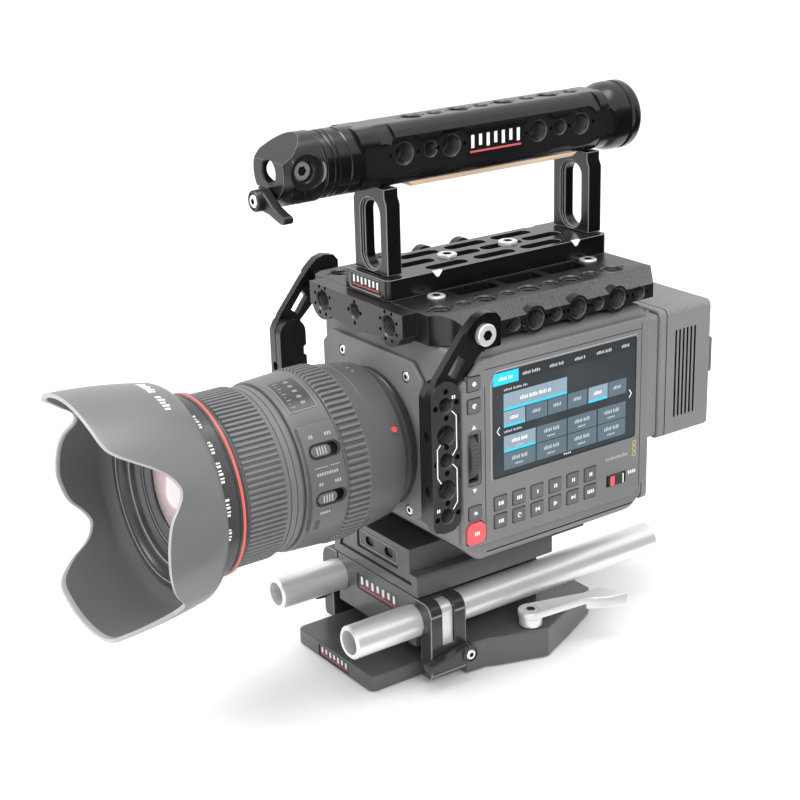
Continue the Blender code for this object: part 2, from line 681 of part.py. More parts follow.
def make_lens():
    """The whole lens."""
    make_lens_barrel()
    make_rings()
    make_front_group()


# Cage
def make_top_plate():
    """The cage's top plate with its lobed front flange, windows and tapped holes."""
    half, flat = TOP_HALF, TOP_FLAT_HALF
    low, high = TOP_Z
    section = [(-half, 0.1605), (-half, 0.1668), (-flat, high), (flat, high), (half, 0.1668), (half, 0.1605),
               (0.050, low), (-0.050, low)]
    plate = extruded("top_plate", [section], "Y", TOP_Y, "black_anodised")
    lobes = [(-FLANGE_HALF, high - 0.0001), (-FLANGE_HALF, 0.1606)]
    for x, start, end in ((-0.0255, 205, 318), (0.0, 235, 305), (0.0255, 222, 335)):
        lobes += arc((x, 0.1634), 0.0086, start, end, 4)
    lobes += [(FLANGE_HALF, 0.1606), (FLANGE_HALF, high - 0.0001)]
    boolean(plate, extruded("top_plate_flange", [lobes], "Y", FLANGE_Y), "UNION")
    windows = []
    for side in (-1, 1):
        for y in ((-0.0025, 0.0195), (0.0235, 0.0440), (0.0480, 0.0690)):
            windows.append((sorted((side * 0.0172, side * 0.0270)), y, (0.15, 0.18)))
    mill(plate, windows)
    holes = []
    for x in (-0.025, 0.025):
        holes.append(((x, FLANGE_Y[0], 0.1636), "Y", 0.0042, 0.012))
    for side in (-1, 1):
        for y in (-0.021, 0.0025, 0.0265, 0.050, 0.074):
            holes.append(((side * 0.0375, y, high), "Z", 0.0042, 0.016))
    drill(plate, holes)
    drill_sides(plate)
    for side, word in ((-1, "left"), (1, "right")):
        corner = [(side * 0.0435, 0.0915), (side * 0.0585, 0.0795), (side * 0.0600, 0.0915)]
        boolean(plate, extruded("top_plate_corner_" + word, [corner], "Z", (0.15, 0.18)), "DIFFERENCE")


def drill_sides(plate):
    """The tapped holes in the plate's side faces."""
    holes = []
    for side in (-1, 1):
        for y in (0.014, 0.0374, 0.0598):
            holes.append(((side * TOP_HALF, y, 0.1642), "X", 0.0030, 0.012))
    boolean(plate, add_object("top_plate_side_drill", cylinder_mesh(holes, 12)), "DIFFERENCE")


def make_bracket(name, side):
    """A side bracket: an arm from the top plate to a thick foot beside the lens mount."""
    outline = [(-0.0385, 0.0825), (-0.0337, 0.0830), (-0.0304, 0.0860), (-0.0304, 0.1455), (-0.0170, 0.1580),
               (-0.0087, 0.1584), (-0.0087, 0.1700), (-0.0110, 0.1728), (-0.0160, 0.1737), (-0.0204, 0.1725),
               (-0.0235, 0.1700), (-0.0281, 0.1655), (-0.0409, 0.1500), (-0.0446, 0.1429), (-0.0446, 0.0865),
               (-0.0435, 0.0840)]
    slot = [(-0.0318, 0.1483), (-0.0262, 0.1555), (-0.0290, 0.1590), (-0.0352, 0.1512)]
    inner, outer = BRACKET_X
    bracket = extruded(name, [outline, slot], "X", sorted((side * inner, side * outer)), "black_anodised")
    foot = arc((-0.0375, 0.1410), 0.0069, 0, 180, 6) + [
        (-0.0444, 0.0868), (-0.0385, 0.0827), (-0.0337, 0.0832), (-0.0306, 0.0862)]
    foot_span = sorted((side * BRACKET_FOOT_X, side * (outer - 0.0004)))
    boolean(bracket, extruded(name + "_foot", [foot], "X", foot_span), "UNION")
    holes = []
    for z, radius in ((0.1387, 0.0030), (0.1257, 0.0042), (0.1147, 0.0030), (0.1018, 0.0042), (0.0901, 0.0030)):
        holes.append(((side * 0.058, -0.0372, z), "X", radius, 0.03))
    drill(bracket, holes)


def make_cage():
    """The top plate and the two brackets."""
    make_top_plate()
    make_bracket("bracket_left", -1)
    make_bracket("bracket_right", 1)


# Top handle
def make_riser():
    """The long slotted plate that carries the handle's posts."""
    outline = rounded((-RISER_HALF, RISER_HALF), RISER_Y, 0.003, 2)
    loops = [outline]
    outer_slots = ((-0.0080, 0.0135), (0.0180, 0.0400), (0.0443, 0.0663))
    for x in (-0.0106, 0.0106):
        for y in outer_slots:
            loops.append(rounded(span(x, 0.0066), y, 0.0032, 2))
    for y in ((-0.0170, 0.0035), (0.0075, 0.0285), (0.0300, 0.0525), (0.0540, 0.0750)):
        loops.append(rounded(span(0.0, 0.0066), y, 0.0032, 2))
    extruded("riser", loops, "Z", RISER_Z, "black_anodised")


def make_post(name, y):
    """A flat handle post with a long slot and a narrower neck."""
    low, high = RISER_Z[1] + GAP, HANDLE_BOTTOM - GAP
    neck = 0.0105
    outline = [(-POST_HALF, low), (POST_HALF, low), (POST_HALF, POST_NECK_Z), (neck, POST_NECK_Z + 0.001),
               (neck, high), (-neck, high), (-neck, POST_NECK_Z + 0.001), (-POST_HALF, POST_NECK_Z)]
    slot = rounded((-0.0055, 0.0055), (0.1815, 0.2110), 0.0053, 4)
    post = extruded(name, [outline, slot], "Y", y, "black_anodised")
    bevel(post, 0.0005, angle=60)


def make_handle_tube():
    """The machined tube: flats with round ends, tapped holes and a seat for the wood grip."""
    radius, half, flat = HANDLE_RADIUS, TUBE_HALF, TUBE_FLAT
    section = [(-flat, HANDLE_BOTTOM), (flat, HANDLE_BOTTOM), (half, HANDLE_Z - flat), (half, HANDLE_Z + flat),
               (flat, HANDLE_Z + half), (-flat, HANDLE_Z + half), (-half, HANDLE_Z + flat),
               (-half, HANDLE_Z - flat)]
    tube = extruded("handle_tube", [section], "Y", (-0.040, 0.094), "black_anodised")
    centre = (0.0, HANDLE_Z)
    front = turned("handle_tube_front", [(HANDLE_Y[0], 0.0), (HANDLE_Y[0], radius - 0.0005), (-0.0385, radius - 0.0005),
                                         (-0.036, 0.0122), (-0.036, 0.0)], None, centre, 32)
    rear = turned("handle_tube_rear", [(0.086, 0.0), (0.086, 0.0122), (0.0915, 0.0123), (0.0955, 0.0140), (0.1000, 0.0155),
                                       (HANDLE_Y[1], 0.0155), (HANDLE_Y[1], 0.0)], None, centre, 32)
    boolean(tube, front, "UNION")
    boolean(tube, rear, "UNION")
    mill(tube, [((-0.02, 0.02), (GRIP_Y[0] - GAP, GRIP_Y[1] + GAP), (0.20, GRIP_Z[1] + GAP))])
    holes = []
    for side in (-1, 1):
        for y in (-0.0190, 0.0055, 0.0530, 0.0775):
            holes.append(((side * half, y, HANDLE_Z + 0.0012), "X", 0.0042, 0.011))
    for y in (-0.0067, 0.0182, 0.0426, 0.0680):
        holes.append(((0.0, y, HANDLE_Z + half), "Z", 0.0042, 0.011))
    drill(tube, holes)


def make_grip():
    """The wood strip under the handle."""
    low, high = GRIP_Z
    section = [(-0.0058, low), (0.0058, low), (0.0086, low + 0.0016), (0.0104, high), (-0.0104, high),
               (-0.0086, low + 0.0016)]
    extruded("wood_grip", [section], "Y", GRIP_Y, "wood")


def make_clamp_head():
    """The rod clamp at the handle's front: a cross bore, a front bore and a slit under them."""
    front, back = HEAD_Y
    radius = HANDLE_RADIUS
    head = turned("clamp_head", [(front, 0.0), (front, 0.0118), (front + 0.0030, radius), (back, radius),
                                 (back, 0.0)], "black_anodised", (0.0, HANDLE_Z), 32)
    wedge = extruded("clamp_head_slope", [[(front - 0.002, 0.2345), (-0.0630, 0.2460), (front - 0.002, 0.2460)]],
                     "X", (-0.02, 0.02))
    boolean(head, wedge, "DIFFERENCE")
    drill(head, [((0.0, -0.0675, HANDLE_Z + 0.0005), "X", 0.0075, 0.04)], 20)
    boolean(head, add_object("clamp_head_bore", cylinder_mesh([((0.0, front, HANDLE_Z), "Y", 0.0050, 0.014)], 20)),
            "DIFFERENCE")
    mill(head, [((-0.02, 0.02), (-0.0683, -0.0667), (0.21, 0.2280))])


CLAMP_SCREW = (0.0, 0.2193)


def make_clamp_lever():
    """The thumb lever at the front of the clamp head."""
    x, z = CLAMP_SCREW
    outline = arc((x, z), 0.0043, 80, 270, 7) + [(0.0088, 0.2145), (0.0160, 0.2118), (0.0190, 0.2125),
                                               (0.0190, 0.2150), (0.0120, 0.2168), (0.0060, 0.2215)]
    lever = extruded("clamp_lever", [outline], "Y", (-0.0852, HEAD_Y[0] - GAP), "black_anodised")
    bevel(lever, 0.0005, angle=50)
    set_origin(lever, (x, HEAD_Y[0], z))


def make_handle():
    """The riser, the posts, the tube and what is on it."""
    make_riser()
    make_post("front_post", FRONT_POST_Y)
    make_post("rear_post", REAR_POST_Y)
    make_handle_tube()
    make_grip()
    make_clamp_head()
    make_clamp_lever()
    front, back = END_CAP_Y
    turned("end_cap", [(front, 0.0), (front, 0.0150), (front + 0.001, 0.0155), (back - 0.0012, 0.0155),
                       (back, 0.0145), (back, 0.0)], "black_anodised", (0.0, HANDLE_Z), 32)


make_base()
make_camera()
make_lens()
make_cage()
make_handle()
for part in parts.objects:
    smooth(part)
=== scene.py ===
"""Looks for the cinema camera rig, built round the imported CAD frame.

Lengths in the modelling code are millimetres.
"""
import json
import math

import bmesh
import bpy
from mathutils import Matrix, Vector


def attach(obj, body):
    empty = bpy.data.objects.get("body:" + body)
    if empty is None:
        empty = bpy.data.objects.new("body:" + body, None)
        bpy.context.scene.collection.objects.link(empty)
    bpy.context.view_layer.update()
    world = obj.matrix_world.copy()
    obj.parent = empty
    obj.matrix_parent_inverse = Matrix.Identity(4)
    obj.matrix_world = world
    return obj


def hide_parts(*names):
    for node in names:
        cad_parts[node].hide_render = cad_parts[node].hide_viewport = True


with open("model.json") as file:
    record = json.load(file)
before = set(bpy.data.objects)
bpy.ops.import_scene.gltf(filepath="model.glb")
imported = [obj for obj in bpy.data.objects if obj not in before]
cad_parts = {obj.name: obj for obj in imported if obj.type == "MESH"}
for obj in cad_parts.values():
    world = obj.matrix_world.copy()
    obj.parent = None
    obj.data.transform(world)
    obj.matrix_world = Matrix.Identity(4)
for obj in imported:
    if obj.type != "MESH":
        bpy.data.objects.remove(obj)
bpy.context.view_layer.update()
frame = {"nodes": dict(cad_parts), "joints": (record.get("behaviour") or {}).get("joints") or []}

MM = 0.001
JOINTS = {joint["name"]: joint for joint in frame["joints"]}
scene = bpy.context.scene
LENS_Z = JOINTS["focus_turn"]["pos_m"][2] / MM


# ---------------------------------------------------------------- camera, light and floor
FOCAL_LENGTH = 75.29
VIEW_ANGLES = (55.047, 19.868, -1.635)
CAMERA_PLACE = (0.56985, -0.41468, 0.37027)
SKY_STRENGTH = 1.12


def place_camera():
    """The camera at the photograph's viewing angle."""
    data = bpy.data.cameras.new("camera")
    data.sensor_width = 36.0
    data.lens = FOCAL_LENGTH
    data.clip_start, data.clip_end = 0.05, 20.0
    camera = bpy.data.objects.new("camera", data)
    scene.collection.objects.link(camera)
    azimuth, elevation, roll = (math.radians(angle) for angle in VIEW_ANGLES)
    back = Vector((math.sin(azimuth) * math.cos(elevation), -math.cos(azimuth) * math.cos(elevation),
                   math.sin(elevation)))
    turn = back.to_track_quat("Z", "Y").to_matrix().to_4x4() @ Matrix.Rotation(roll, 4, "Z")
    camera.matrix_world = Matrix.Translation(CAMERA_PLACE) @ turn
    scene.camera = camera


def area_light(name, location, target, size, power):
    """A square soft light that faces a point."""
    data = bpy.data.lights.new(name, "AREA")
    data.shape = "SQUARE"
    data.size = size
    data.energy = power
    light = bpy.data.objects.new(name, data)
    scene.collection.objects.link(light)
    light.location = location
    light.rotation_euler = (Vector(location) - Vector(target)).to_track_quat("Z", "Y").to_euler()


def staged_sheet(name, bm, tone, roughness, specular):
    """A plain sheet of the studio, which is no part of the rig."""
    mesh = bpy.data.meshes.new(name)
    bm.to_mesh(mesh)
    bm.free()
    sheet = bpy.data.objects.new(name, mesh)
    scene.collection.objects.link(sheet)
    made = bpy.data.materials.new(name)
    made.use_nodes = True
    shader = made.node_tree.nodes["Principled BSDF"]
    shader.inputs["Base Color"].default_value = (tone, tone, tone, 1.0)
    shader.inputs["Roughness"].default_value = roughness
    shader.inputs["Specular IOR Level"].default_value = specular
    mesh.materials.append(made)
    return sheet


def make_studio():
    """A white floor under a white sky, with soft lights, and a black flag that only reflections see."""
    world = bpy.data.worlds.new("studio")
    world.use_nodes = True
    sky = world.node_tree.nodes["Background"]
    sky.inputs["Color"].default_value = (1.0, 1.0, 1.0, 1.0)
    sky.inputs["Strength"].default_value = SKY_STRENGTH
    scene.world = world
    scene.view_settings.view_transform = "Standard"
    bm = bmesh.new()
    bmesh.ops.create_grid(bm, x_segments=1, y_segments=1, size=9.0,
                          matrix=Matrix.Translation((0, 0, -0.0004)))
    staged_sheet("floor", bm, 0.93, 0.9, 0.1)
    target = (0.0, -0.02, 0.11)
    area_light("key", (-0.35, -0.95, 0.95), target, 0.5, 9.0)
    area_light("top", (0.05, 0.05, 1.15), target, 0.6, 6.0)
    area_light("side", (1.05, -0.25, 0.75), target, 0.35, 4.0)
    bm = bmesh.new()
    rows = [[bm.verts.new((x, y, z)) for x, z in ((0.09, 0.001), (0.75, 0.001), (0.95, 0.25), (0.95, 0.7))]
            for y in (-0.25, 1.5)]
    for first in range(3):
        bm.faces.new((rows[0][first], rows[0][first + 1], rows[1][first + 1], rows[1][first]))
    flag = staged_sheet("flag", bm, 0.0, 0.5, 0.0)
    flag.visible_camera = flag.visible_diffuse = flag.visible_shadow = flag.visible_transmission = False


# ---------------------------------------------------------------- materials
def link(tree, source, target):
    """Joins two sockets of a node tree."""
    tree.links.new(source, target)


def surface(name, color, roughness, metallic=0.0, grain=900.0, bump=0.15, spread=0.12, tone=0.12,
            speckle=None, coat=0.0, sheen=0.0, stretch=(1.0, 1.0, 1.0), specular=0.5):
    """A procedural material: fine grain in the bump and the roughness, and slow changes of tone.

    grain is the noise scale per metre, spread how far the roughness moves and tone how far the colour moves.
    speckle adds a second colour in small flecks.
    """
    made = bpy.data.materials.new(name)
    made.use_nodes = True
    tree = made.node_tree
    shader = tree.nodes["Principled BSDF"]
    shader.inputs["Metallic"].default_value = metallic
    shader.inputs["Coat Weight"].default_value = coat
    shader.inputs["Sheen Weight"].default_value = sheen
    shader.inputs["Specular IOR Level"].default_value = specular
    place = tree.nodes.new("ShaderNodeTexCoord")
    mapping = tree.nodes.new("ShaderNodeMapping")
    mapping.inputs["Scale"].default_value = stretch
    link(tree, place.outputs["Object"], mapping.inputs["Vector"])

    def noise(scale, detail):
        node = tree.nodes.new("ShaderNodeTexNoise")
        node.inputs["Scale"].default_value = scale
        node.inputs["Detail"].default_value = detail
        link(tree, mapping.outputs["Vector"], node.inputs["Vector"])
        return node.outputs["Fac"]

    slow, fine = noise(28.0, 4.0), noise(grain, 3.0)
    ramp = tree.nodes.new("ShaderNodeValToRGB")
    dark, light = (1.0 - tone), (1.0 + tone)
    ramp.color_ramp.elements[0].position, ramp.color_ramp.elements[1].position = 0.3, 0.7
    ramp.color_ramp.elements[0].color = (*(channel * dark for channel in color), 1.0)
    ramp.color_ramp.elements[1].color = (*(min(1.0, channel * light) for channel in color), 1.0)
    link(tree, slow, ramp.inputs["Fac"])
    tinted = ramp.outputs["Color"]
    if speckle:
        flecks = tree.nodes.new("ShaderNodeValToRGB")
        flecks.color_ramp.elements[0].position, flecks.color_ramp.elements[1].position = 0.45, 0.62
        flecks.color_ramp.elements[0].color = (0.0, 0.0, 0.0, 1.0)
        flecks.color_ramp.elements[1].color = (1.0, 1.0, 1.0, 1.0)
        link(tree, fine, flecks.inputs["Fac"])
        mix = tree.nodes.new("ShaderNodeMix")
        mix.data_type = "RGBA"
        link(tree, flecks.outputs["Color"], mix.inputs["Factor"])
        link(tree, tinted, mix.inputs["A"])
        mix.inputs["B"].default_value = (*speckle, 1.0)
        tinted = mix.outputs["Result"]
    link(tree, tinted, shader.inputs["Base Color"])
    rough = tree.nodes.new("ShaderNodeMapRange")
    rough.inputs["To Min"].default_value = max(0.02, roughness - spread / 2)
    rough.inputs["To Max"].default_value = min(1.0, roughness + spread / 2)
    link(tree, slow, rough.inputs["Value"])
    link(tree, rough.outputs["Result"], shader.inputs["Roughness"])
    if bump:
        relief = tree.nodes.new("ShaderNodeBump")
        relief.inputs["Strength"].default_value = bump
        relief.inputs["Distance"].default_value = 0.0002
        link(tree, fine, relief.inputs["Height"])
        link(tree, relief.outputs["Normal"], shader.inputs["Normal"])
    return made


def glass(name, color, roughness, coat=1.0):
    """Coated glass as a surface of one tint under a coat: a dark tint is the glass's own, and a light tint,
    as on the front element, is a painted reflection.
    """
    return surface(name, color, roughness, grain=120.0, bump=0.0, spread=0.01, tone=0.25, coat=coat)


MAT = {
    "black": surface("black_anodised", (0.005, 0.005, 0.0055), 0.24, grain=2600, bump=0.05, spread=0.06),
    "black_face": surface("black_anodised_face", (0.010, 0.010, 0.0105), 0.34, grain=2600, bump=0.08),
    # Lighter and rougher than the black parts: partly a blasted finish, partly painted light on chamfers
    # picked by the way they face.
    "blasted_and_lit": surface("blasted_chamfer_painted_light", (0.075, 0.075, 0.078), 0.55, grain=1500, bump=0.5, spread=0.1,
                     speckle=(0.02, 0.02, 0.02)),
    "grey": surface("grey_anodised", (0.085, 0.085, 0.087), 0.25, grain=1800, bump=0.05, spread=0.03,
                    tone=0.03),
    "jaw": surface("black_clamp", (0.03, 0.03, 0.031), 0.2, grain=1800, bump=0.05, spread=0.03, tone=0.03),
    # A lighter black for the brackets' outward flat faces only: painted light.
    "face": surface("black_face_painted_light", (0.036, 0.036, 0.037), 0.4, grain=2200, bump=0.1),
    # Light grey for bevel faces: a painted highlight along the black parts' edges.
    "edge": surface("edge_painted_highlight", (0.2, 0.2, 0.203), 0.27, grain=2200, bump=0.05),
    # Light grey for the hood's rounded lip: a painted highlight along its front edge.
    "lip": surface("hood_lip_painted_highlight", (0.33, 0.33, 0.333), 0.35, grain=2200, bump=0.05),
    "faint": surface("faint_ink", (0.24, 0.24, 0.243), 0.5, grain=1500, bump=0.03),
    # Bright metal: on thread crests a painted glint, and the head screw's own metal.
    "thread": surface("thread_metal_painted_glint", (0.32, 0.32, 0.323), 0.26, metallic=0.5, grain=1500, bump=0.05),
    "mount": surface("mount_dark", (0.06, 0.06, 0.062), 0.3, metallic=0.4, grain=1500, bump=0.05),
    "body": surface("camera_paint", (0.17, 0.17, 0.173), 0.5, grain=1400, bump=0.35, tone=0.07),
    "body_dark": surface("camera_paint_dark", (0.075, 0.075, 0.078), 0.5, grain=1400, bump=0.3, tone=0.07),
    "key": surface("key_plastic", (0.12, 0.12, 0.123), 0.42, grain=1800, bump=0.1),
    "red": surface("record_red", (0.80, 0.10, 0.115), 0.35, grain=1200, bump=0.05, tone=0.05, coat=0.3),
    "lens": surface("lens_black", (0.115, 0.115, 0.117), 0.38, grain=1600, bump=0.12, tone=0.06),
    "rubber": surface("lens_rubber", (0.145, 0.145, 0.145), 0.6, grain=1500, bump=0.3, tone=0.07),
    "ring_red": surface("ring_red", (0.72, 0.11, 0.09), 0.35, grain=1200, bump=0.03, tone=0.05),
    "label": surface("lens_label", (0.05, 0.05, 0.051), 0.3, grain=1600, bump=0.06),
    "hood": surface("hood_plastic", (0.135, 0.135, 0.137), 0.34, grain=1500, bump=0.15, tone=0.05),
    "hood_in": surface("hood_flock", (0.088, 0.088, 0.09), 0.85, grain=3000, bump=0.4, sheen=0.06, tone=0.07),
    "silver": surface("silver", (0.86, 0.86, 0.87), 0.34, metallic=0.6, grain=500, bump=0.04, tone=0.03),
    "steel": surface("screw_steel", (0.80, 0.80, 0.80), 0.3, metallic=0.5, grain=900, bump=0.04, tone=0.05),
    "wood": surface("wood", (0.66, 0.48, 0.33), 0.5, grain=300, bump=0.2, tone=0.2,
                    stretch=(14.0, 1.0, 14.0)),
    "white": surface("white_ink", (0.85, 0.85, 0.85), 0.5, grain=1500, bump=0.03, tone=0.03),
    "red_ink": surface("red_ink", (0.62, 0.09, 0.10), 0.45, grain=1500, bump=0.03, tone=0.05),
    "grey_ink": surface("grey_ink", (0.38, 0.38, 0.385), 0.5, grain=1500, bump=0.03, tone=0.04),
    "gold_ink": surface("gold_ink", (0.42, 0.36, 0.14), 0.45, grain=1500, bump=0.03, tone=0.05),
    # Near black: painted shade inside holes, slots, grooves, vents and sockets; it is also the colour of dark
    # seams and badge plates.
    "hole": surface("hole_dark", (0.006, 0.006, 0.006), 0.4, grain=1500, bump=0.1),
    "screen": glass("screen_glass", (0.045, 0.052, 0.058), 0.12, 0.2),
    # The front element's light pinkish colour is a painted reflection of its coating, not the glass's own
    # dark tint.
    "glass": glass("front_glass", (0.62, 0.50, 0.49), 0.12),
    "battery": surface("battery_plastic", (0.17, 0.17, 0.172), 0.6, grain=2200, bump=0.45, spread=0.1,
                       speckle=(0.23, 0.23, 0.23)),
    "board": surface("circuit_board", (0.02, 0.12, 0.05), 0.45, grain=700, bump=0.2,
                     speckle=(0.05, 0.2, 0.08)),
    "sensor": surface("sensor_black", (0.03, 0.03, 0.033), 0.5, grain=1200, bump=0.2),
    "brass": surface("brass", (0.75, 0.57, 0.28), 0.3, metallic=1.0, grain=900, bump=0.05),
}
# The screen's tiles glow a little, as a lit display does.
for tile, tint, glow in (("tile", (0.095, 0.132, 0.158), 0.2), ("tile_dark", (0.034, 0.038, 0.041), 0.1),
                         ("cyan", (0.02, 0.42, 0.75), 0.55), ("tile_light", (0.20, 0.265, 0.315), 0.3),
                         ("pale", (0.40, 0.44, 0.465), 0.25)):
    MAT[tile] = surface("screen_" + tile, tint, 0.2, grain=600, bump=0.0, tone=0.06)
    lit = MAT[tile].node_tree.nodes["Principled BSDF"]
    lit.inputs["Emission Color"].default_value = (*tint, 1.0)
    lit.inputs["Emission Strength"].default_value = glow


# ---------------------------------------------------------------- shapes
def piece(name, bm, mats):
    """An object from a bmesh in millimetres. mats are keys of MAT, in the order of the material index."""
    bmesh.ops.recalc_face_normals(bm, faces=bm.faces)
    mesh = bpy.data.meshes.new(name)
    bm.to_mesh(mesh)
    bm.free()
    mesh.transform(Matrix.Scale(MM, 4))
    obj = bpy.data.objects.new(name, mesh)
    scene.collection.objects.link(obj)
    for key in ([mats] if isinstance(mats, str) else mats):
        mesh.materials.append(MAT[key])
    return obj


def remove(*objects):
    """Deletes objects and their meshes."""
    for obj in objects:
        mesh = obj.data
        bpy.data.objects.remove(obj)
        bpy.data.meshes.remove(mesh)


def bake(obj):
    """Applies the object's modifiers."""
    bpy.context.view_layer.update()
    mesh = bpy.data.meshes.new_from_object(obj.evaluated_get(bpy.context.evaluated_depsgraph_get()))
    old = obj.data
    obj.modifiers.clear()
    obj.data = mesh
    bpy.data.meshes.remove(old)
    return obj


def cut(obj, *cutters, operation="DIFFERENCE"):
    """Cuts or joins other objects, which are then removed."""
    for cutter in cutters:
        mod = obj.modifiers.new("cut", "BOOLEAN")
        mod.operation = operation
        mod.object = cutter
        mod.solver = "EXACT"
        if len(cutter.data.materials):
            mod.material_mode = "TRANSFER"
    bake(obj)
    remove(*cutters)
    return obj


def bevel(obj, width, segments=2, angle=32, mat=None):
    """Rounds the sharp edges."""
    mod = obj.modifiers.new("bevel", "BEVEL")
    mod.width = width * MM
    mod.segments = segments
    mod.limit_method = "ANGLE"
    mod.angle_limit = math.radians(angle)
    mod.harden_normals = False
    mod.miter_outer = "MITER_ARC"
    # The given material goes on the bevel faces; with the edge material it is a painted highlight along the
    # edges.
    if mat:
        obj.data.materials.append(MAT[mat])
        mod.material = len(obj.data.materials) - 1
    bake(obj)
    return obj


def merge(obj, *others):
    """Puts other objects' faces in this one as separate shells."""
    bm = bmesh.new()
    bm.from_mesh(obj.data)
    for other in others:
        index = {}
        for number, mat in enumerate(other.data.materials):
            found = next((i for i, own in enumerate(obj.data.materials) if own == mat), None)
            if found is None:
                obj.data.materials.append(mat)
                found = len(obj.data.materials) - 1
            index[number] = found
        for polygon in other.data.polygons:
            polygon.material_index = index[polygon.material_index]
        bm.from_mesh(other.data)
    bm.to_mesh(obj.data)
    bm.free()
    remove(*others)
    return obj


def done(obj, body, slot, *nodes, angle=32):
    """Shades a piece and puts it on its CAD body, in place of CAD nodes."""
    obj.data.shade_smooth()
    obj.data.set_sharp_from_angle(angle=math.radians(angle))
    level = obj.modifiers.new("Level faces", "WEIGHTED_NORMAL")
    level.keep_sharp = True
    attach(obj, body)
    if nodes:
        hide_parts(*nodes)
    return obj


AXES = {"X": lambda a, u, v: (a, u, v), "Y": lambda a, u, v: (u, a, v), "Z": lambda a, u, v: (u, v, a)}


def prism_bm(outline, axis, ends, bm=None, index=0):
    """An outline of (u, v) points between two ends on an axis."""
    bm = bm or bmesh.new()
    place = AXES[axis]
    rings = [[bm.verts.new(place(a, u, v)) for u, v in outline] for a in ends]
    faces = [bm.faces.new(rings[0]), bm.faces.new(rings[1])]
    count = len(outline)
    for i in range(count):
        j = (i + 1) % count
        faces.append(bm.faces.new((rings[0][i], rings[0][j], rings[1][j], rings[1][i])))
    for face in faces:
        face.material_index = index
    return bm


def prism(name, outline, axis, ends, mats="black"):
    """An outline drawn out between two ends on an axis, as an object."""
    return piece(name, prism_bm(outline, axis, ends), mats)


def rect(u, v):
    """The outline of the rectangle over two spans."""
    return [(u[0], v[0]), (u[1], v[0]), (u[1], v[1]), (u[0], v[1])]


def block(name, x, y, z, mats="black"):
    """A box over three spans."""
    return prism(name, rect(x, y), "Z", z, mats)


def arc(centre, radius, start, end, count):
    """Points on an arc between two angles in degrees."""
    points = []
    for step in range(count + 1):
        angle = math.radians(start + (end - start) * step / count)
        points.append((centre[0] + radius * math.cos(angle), centre[1] + radius * math.sin(angle)))
    return points


def rounded(u, v, radius, count=5):
    """The outline of the rectangle over two spans, with round corners."""
    centres = [(u[1] - radius, v[1] - radius), (u[0] + radius, v[1] - radius),
               (u[0] + radius, v[0] + radius), (u[1] - radius, v[0] + radius)]
    points = []
    for index, centre in enumerate(centres):
        points += arc(centre, radius, 90 * index, 90 * index + 90, count)
    return points


def mid(centre, size):
    """The span of a size about its middle."""
    return (centre - size / 2, centre + size / 2)


def side_span(side, near, far):
    """The span from near to far out from the middle, on the side -1 or 1."""
    return tuple(sorted((side * near, side * far)))


def along_across(axis, centre):
    """A point's place along an axis, and its two other coordinates."""
    rest = list(centre)
    return rest.pop("XYZ".index(axis)), rest


def lathe_bm(profile, axis, centre, steps=64, closed=False, teeth=None, bm=None, index=0):
    """A turned shape from (along, radius) points, about an axis through centre, which is a point (x, y, z).

    teeth is (count, depth, low, high): ribs that stand depth above the profile between along low and high.
    """
    bm = bm or bmesh.new()
    place = AXES[axis]
    if teeth:
        angles = []
        for tooth in range(teeth[0]):
            for share, level in ((0.0, 1), (0.42, 1), (0.54, 0), (0.88, 0)):
                angles.append((2 * math.pi * (tooth + share) / teeth[0], level))
    else:
        angles = [(2 * math.pi * step / steps, 0) for step in range(steps)]
    base, offset = along_across(axis, centre)
    rings = []
    for along, radius in profile:
        if radius <= 0.0:
            rings.append([bm.verts.new(place(base + along, *offset))])
            continue
        ring = []
        for angle, level in angles:
            reach = radius
            if teeth and level and teeth[2] <= along <= teeth[3]:
                reach += teeth[1]
            ring.append(bm.verts.new(place(base + along, offset[0] + reach * math.cos(angle),
                                           offset[1] + reach * math.sin(angle))))
        rings.append(ring)
    pairs = list(zip(rings, rings[1:]))
    if closed:
        pairs.append((rings[-1], rings[0]))
    count = len(angles)
    for first, second in pairs:
        for i in range(count):
            j = (i + 1) % count
            if len(first) == 1:
                corners = (first[0], second[i], second[j])
            elif len(second) == 1:
                corners = (first[i], first[j], second[0])
            else:
                corners = (first[i], first[j], second[j], second[i])
            bm.faces.new(corners).material_index = index
    return bm


def lathe(name, profile, axis, centre, mats="black", **options):
    """A turned shape, as an object."""
    return piece(name, lathe_bm(profile, axis, centre, **options), mats)


def rod(name, axis, centre, radius, length, mats="black", steps=32):
    """A plain cylinder about its middle."""
    half = length / 2
    return lathe(name, [(-half, 0), (-half, radius), (half, radius), (half, 0)], axis, centre, mats,
                 steps=steps)


def drills(name, axis, holes, mats="hole", steps=28):
    """One cutter of plain holes, each (x, y, z, radius, depth) with depth to each side of the point."""
    bm = bmesh.new()
    for x, y, z, radius, depth in holes:
        lathe_bm([(-depth, 0), (-depth, radius), (depth, radius), (depth, 0)], axis, (x, y, z), steps, bm=bm)
    return piece(name, bm, mats)


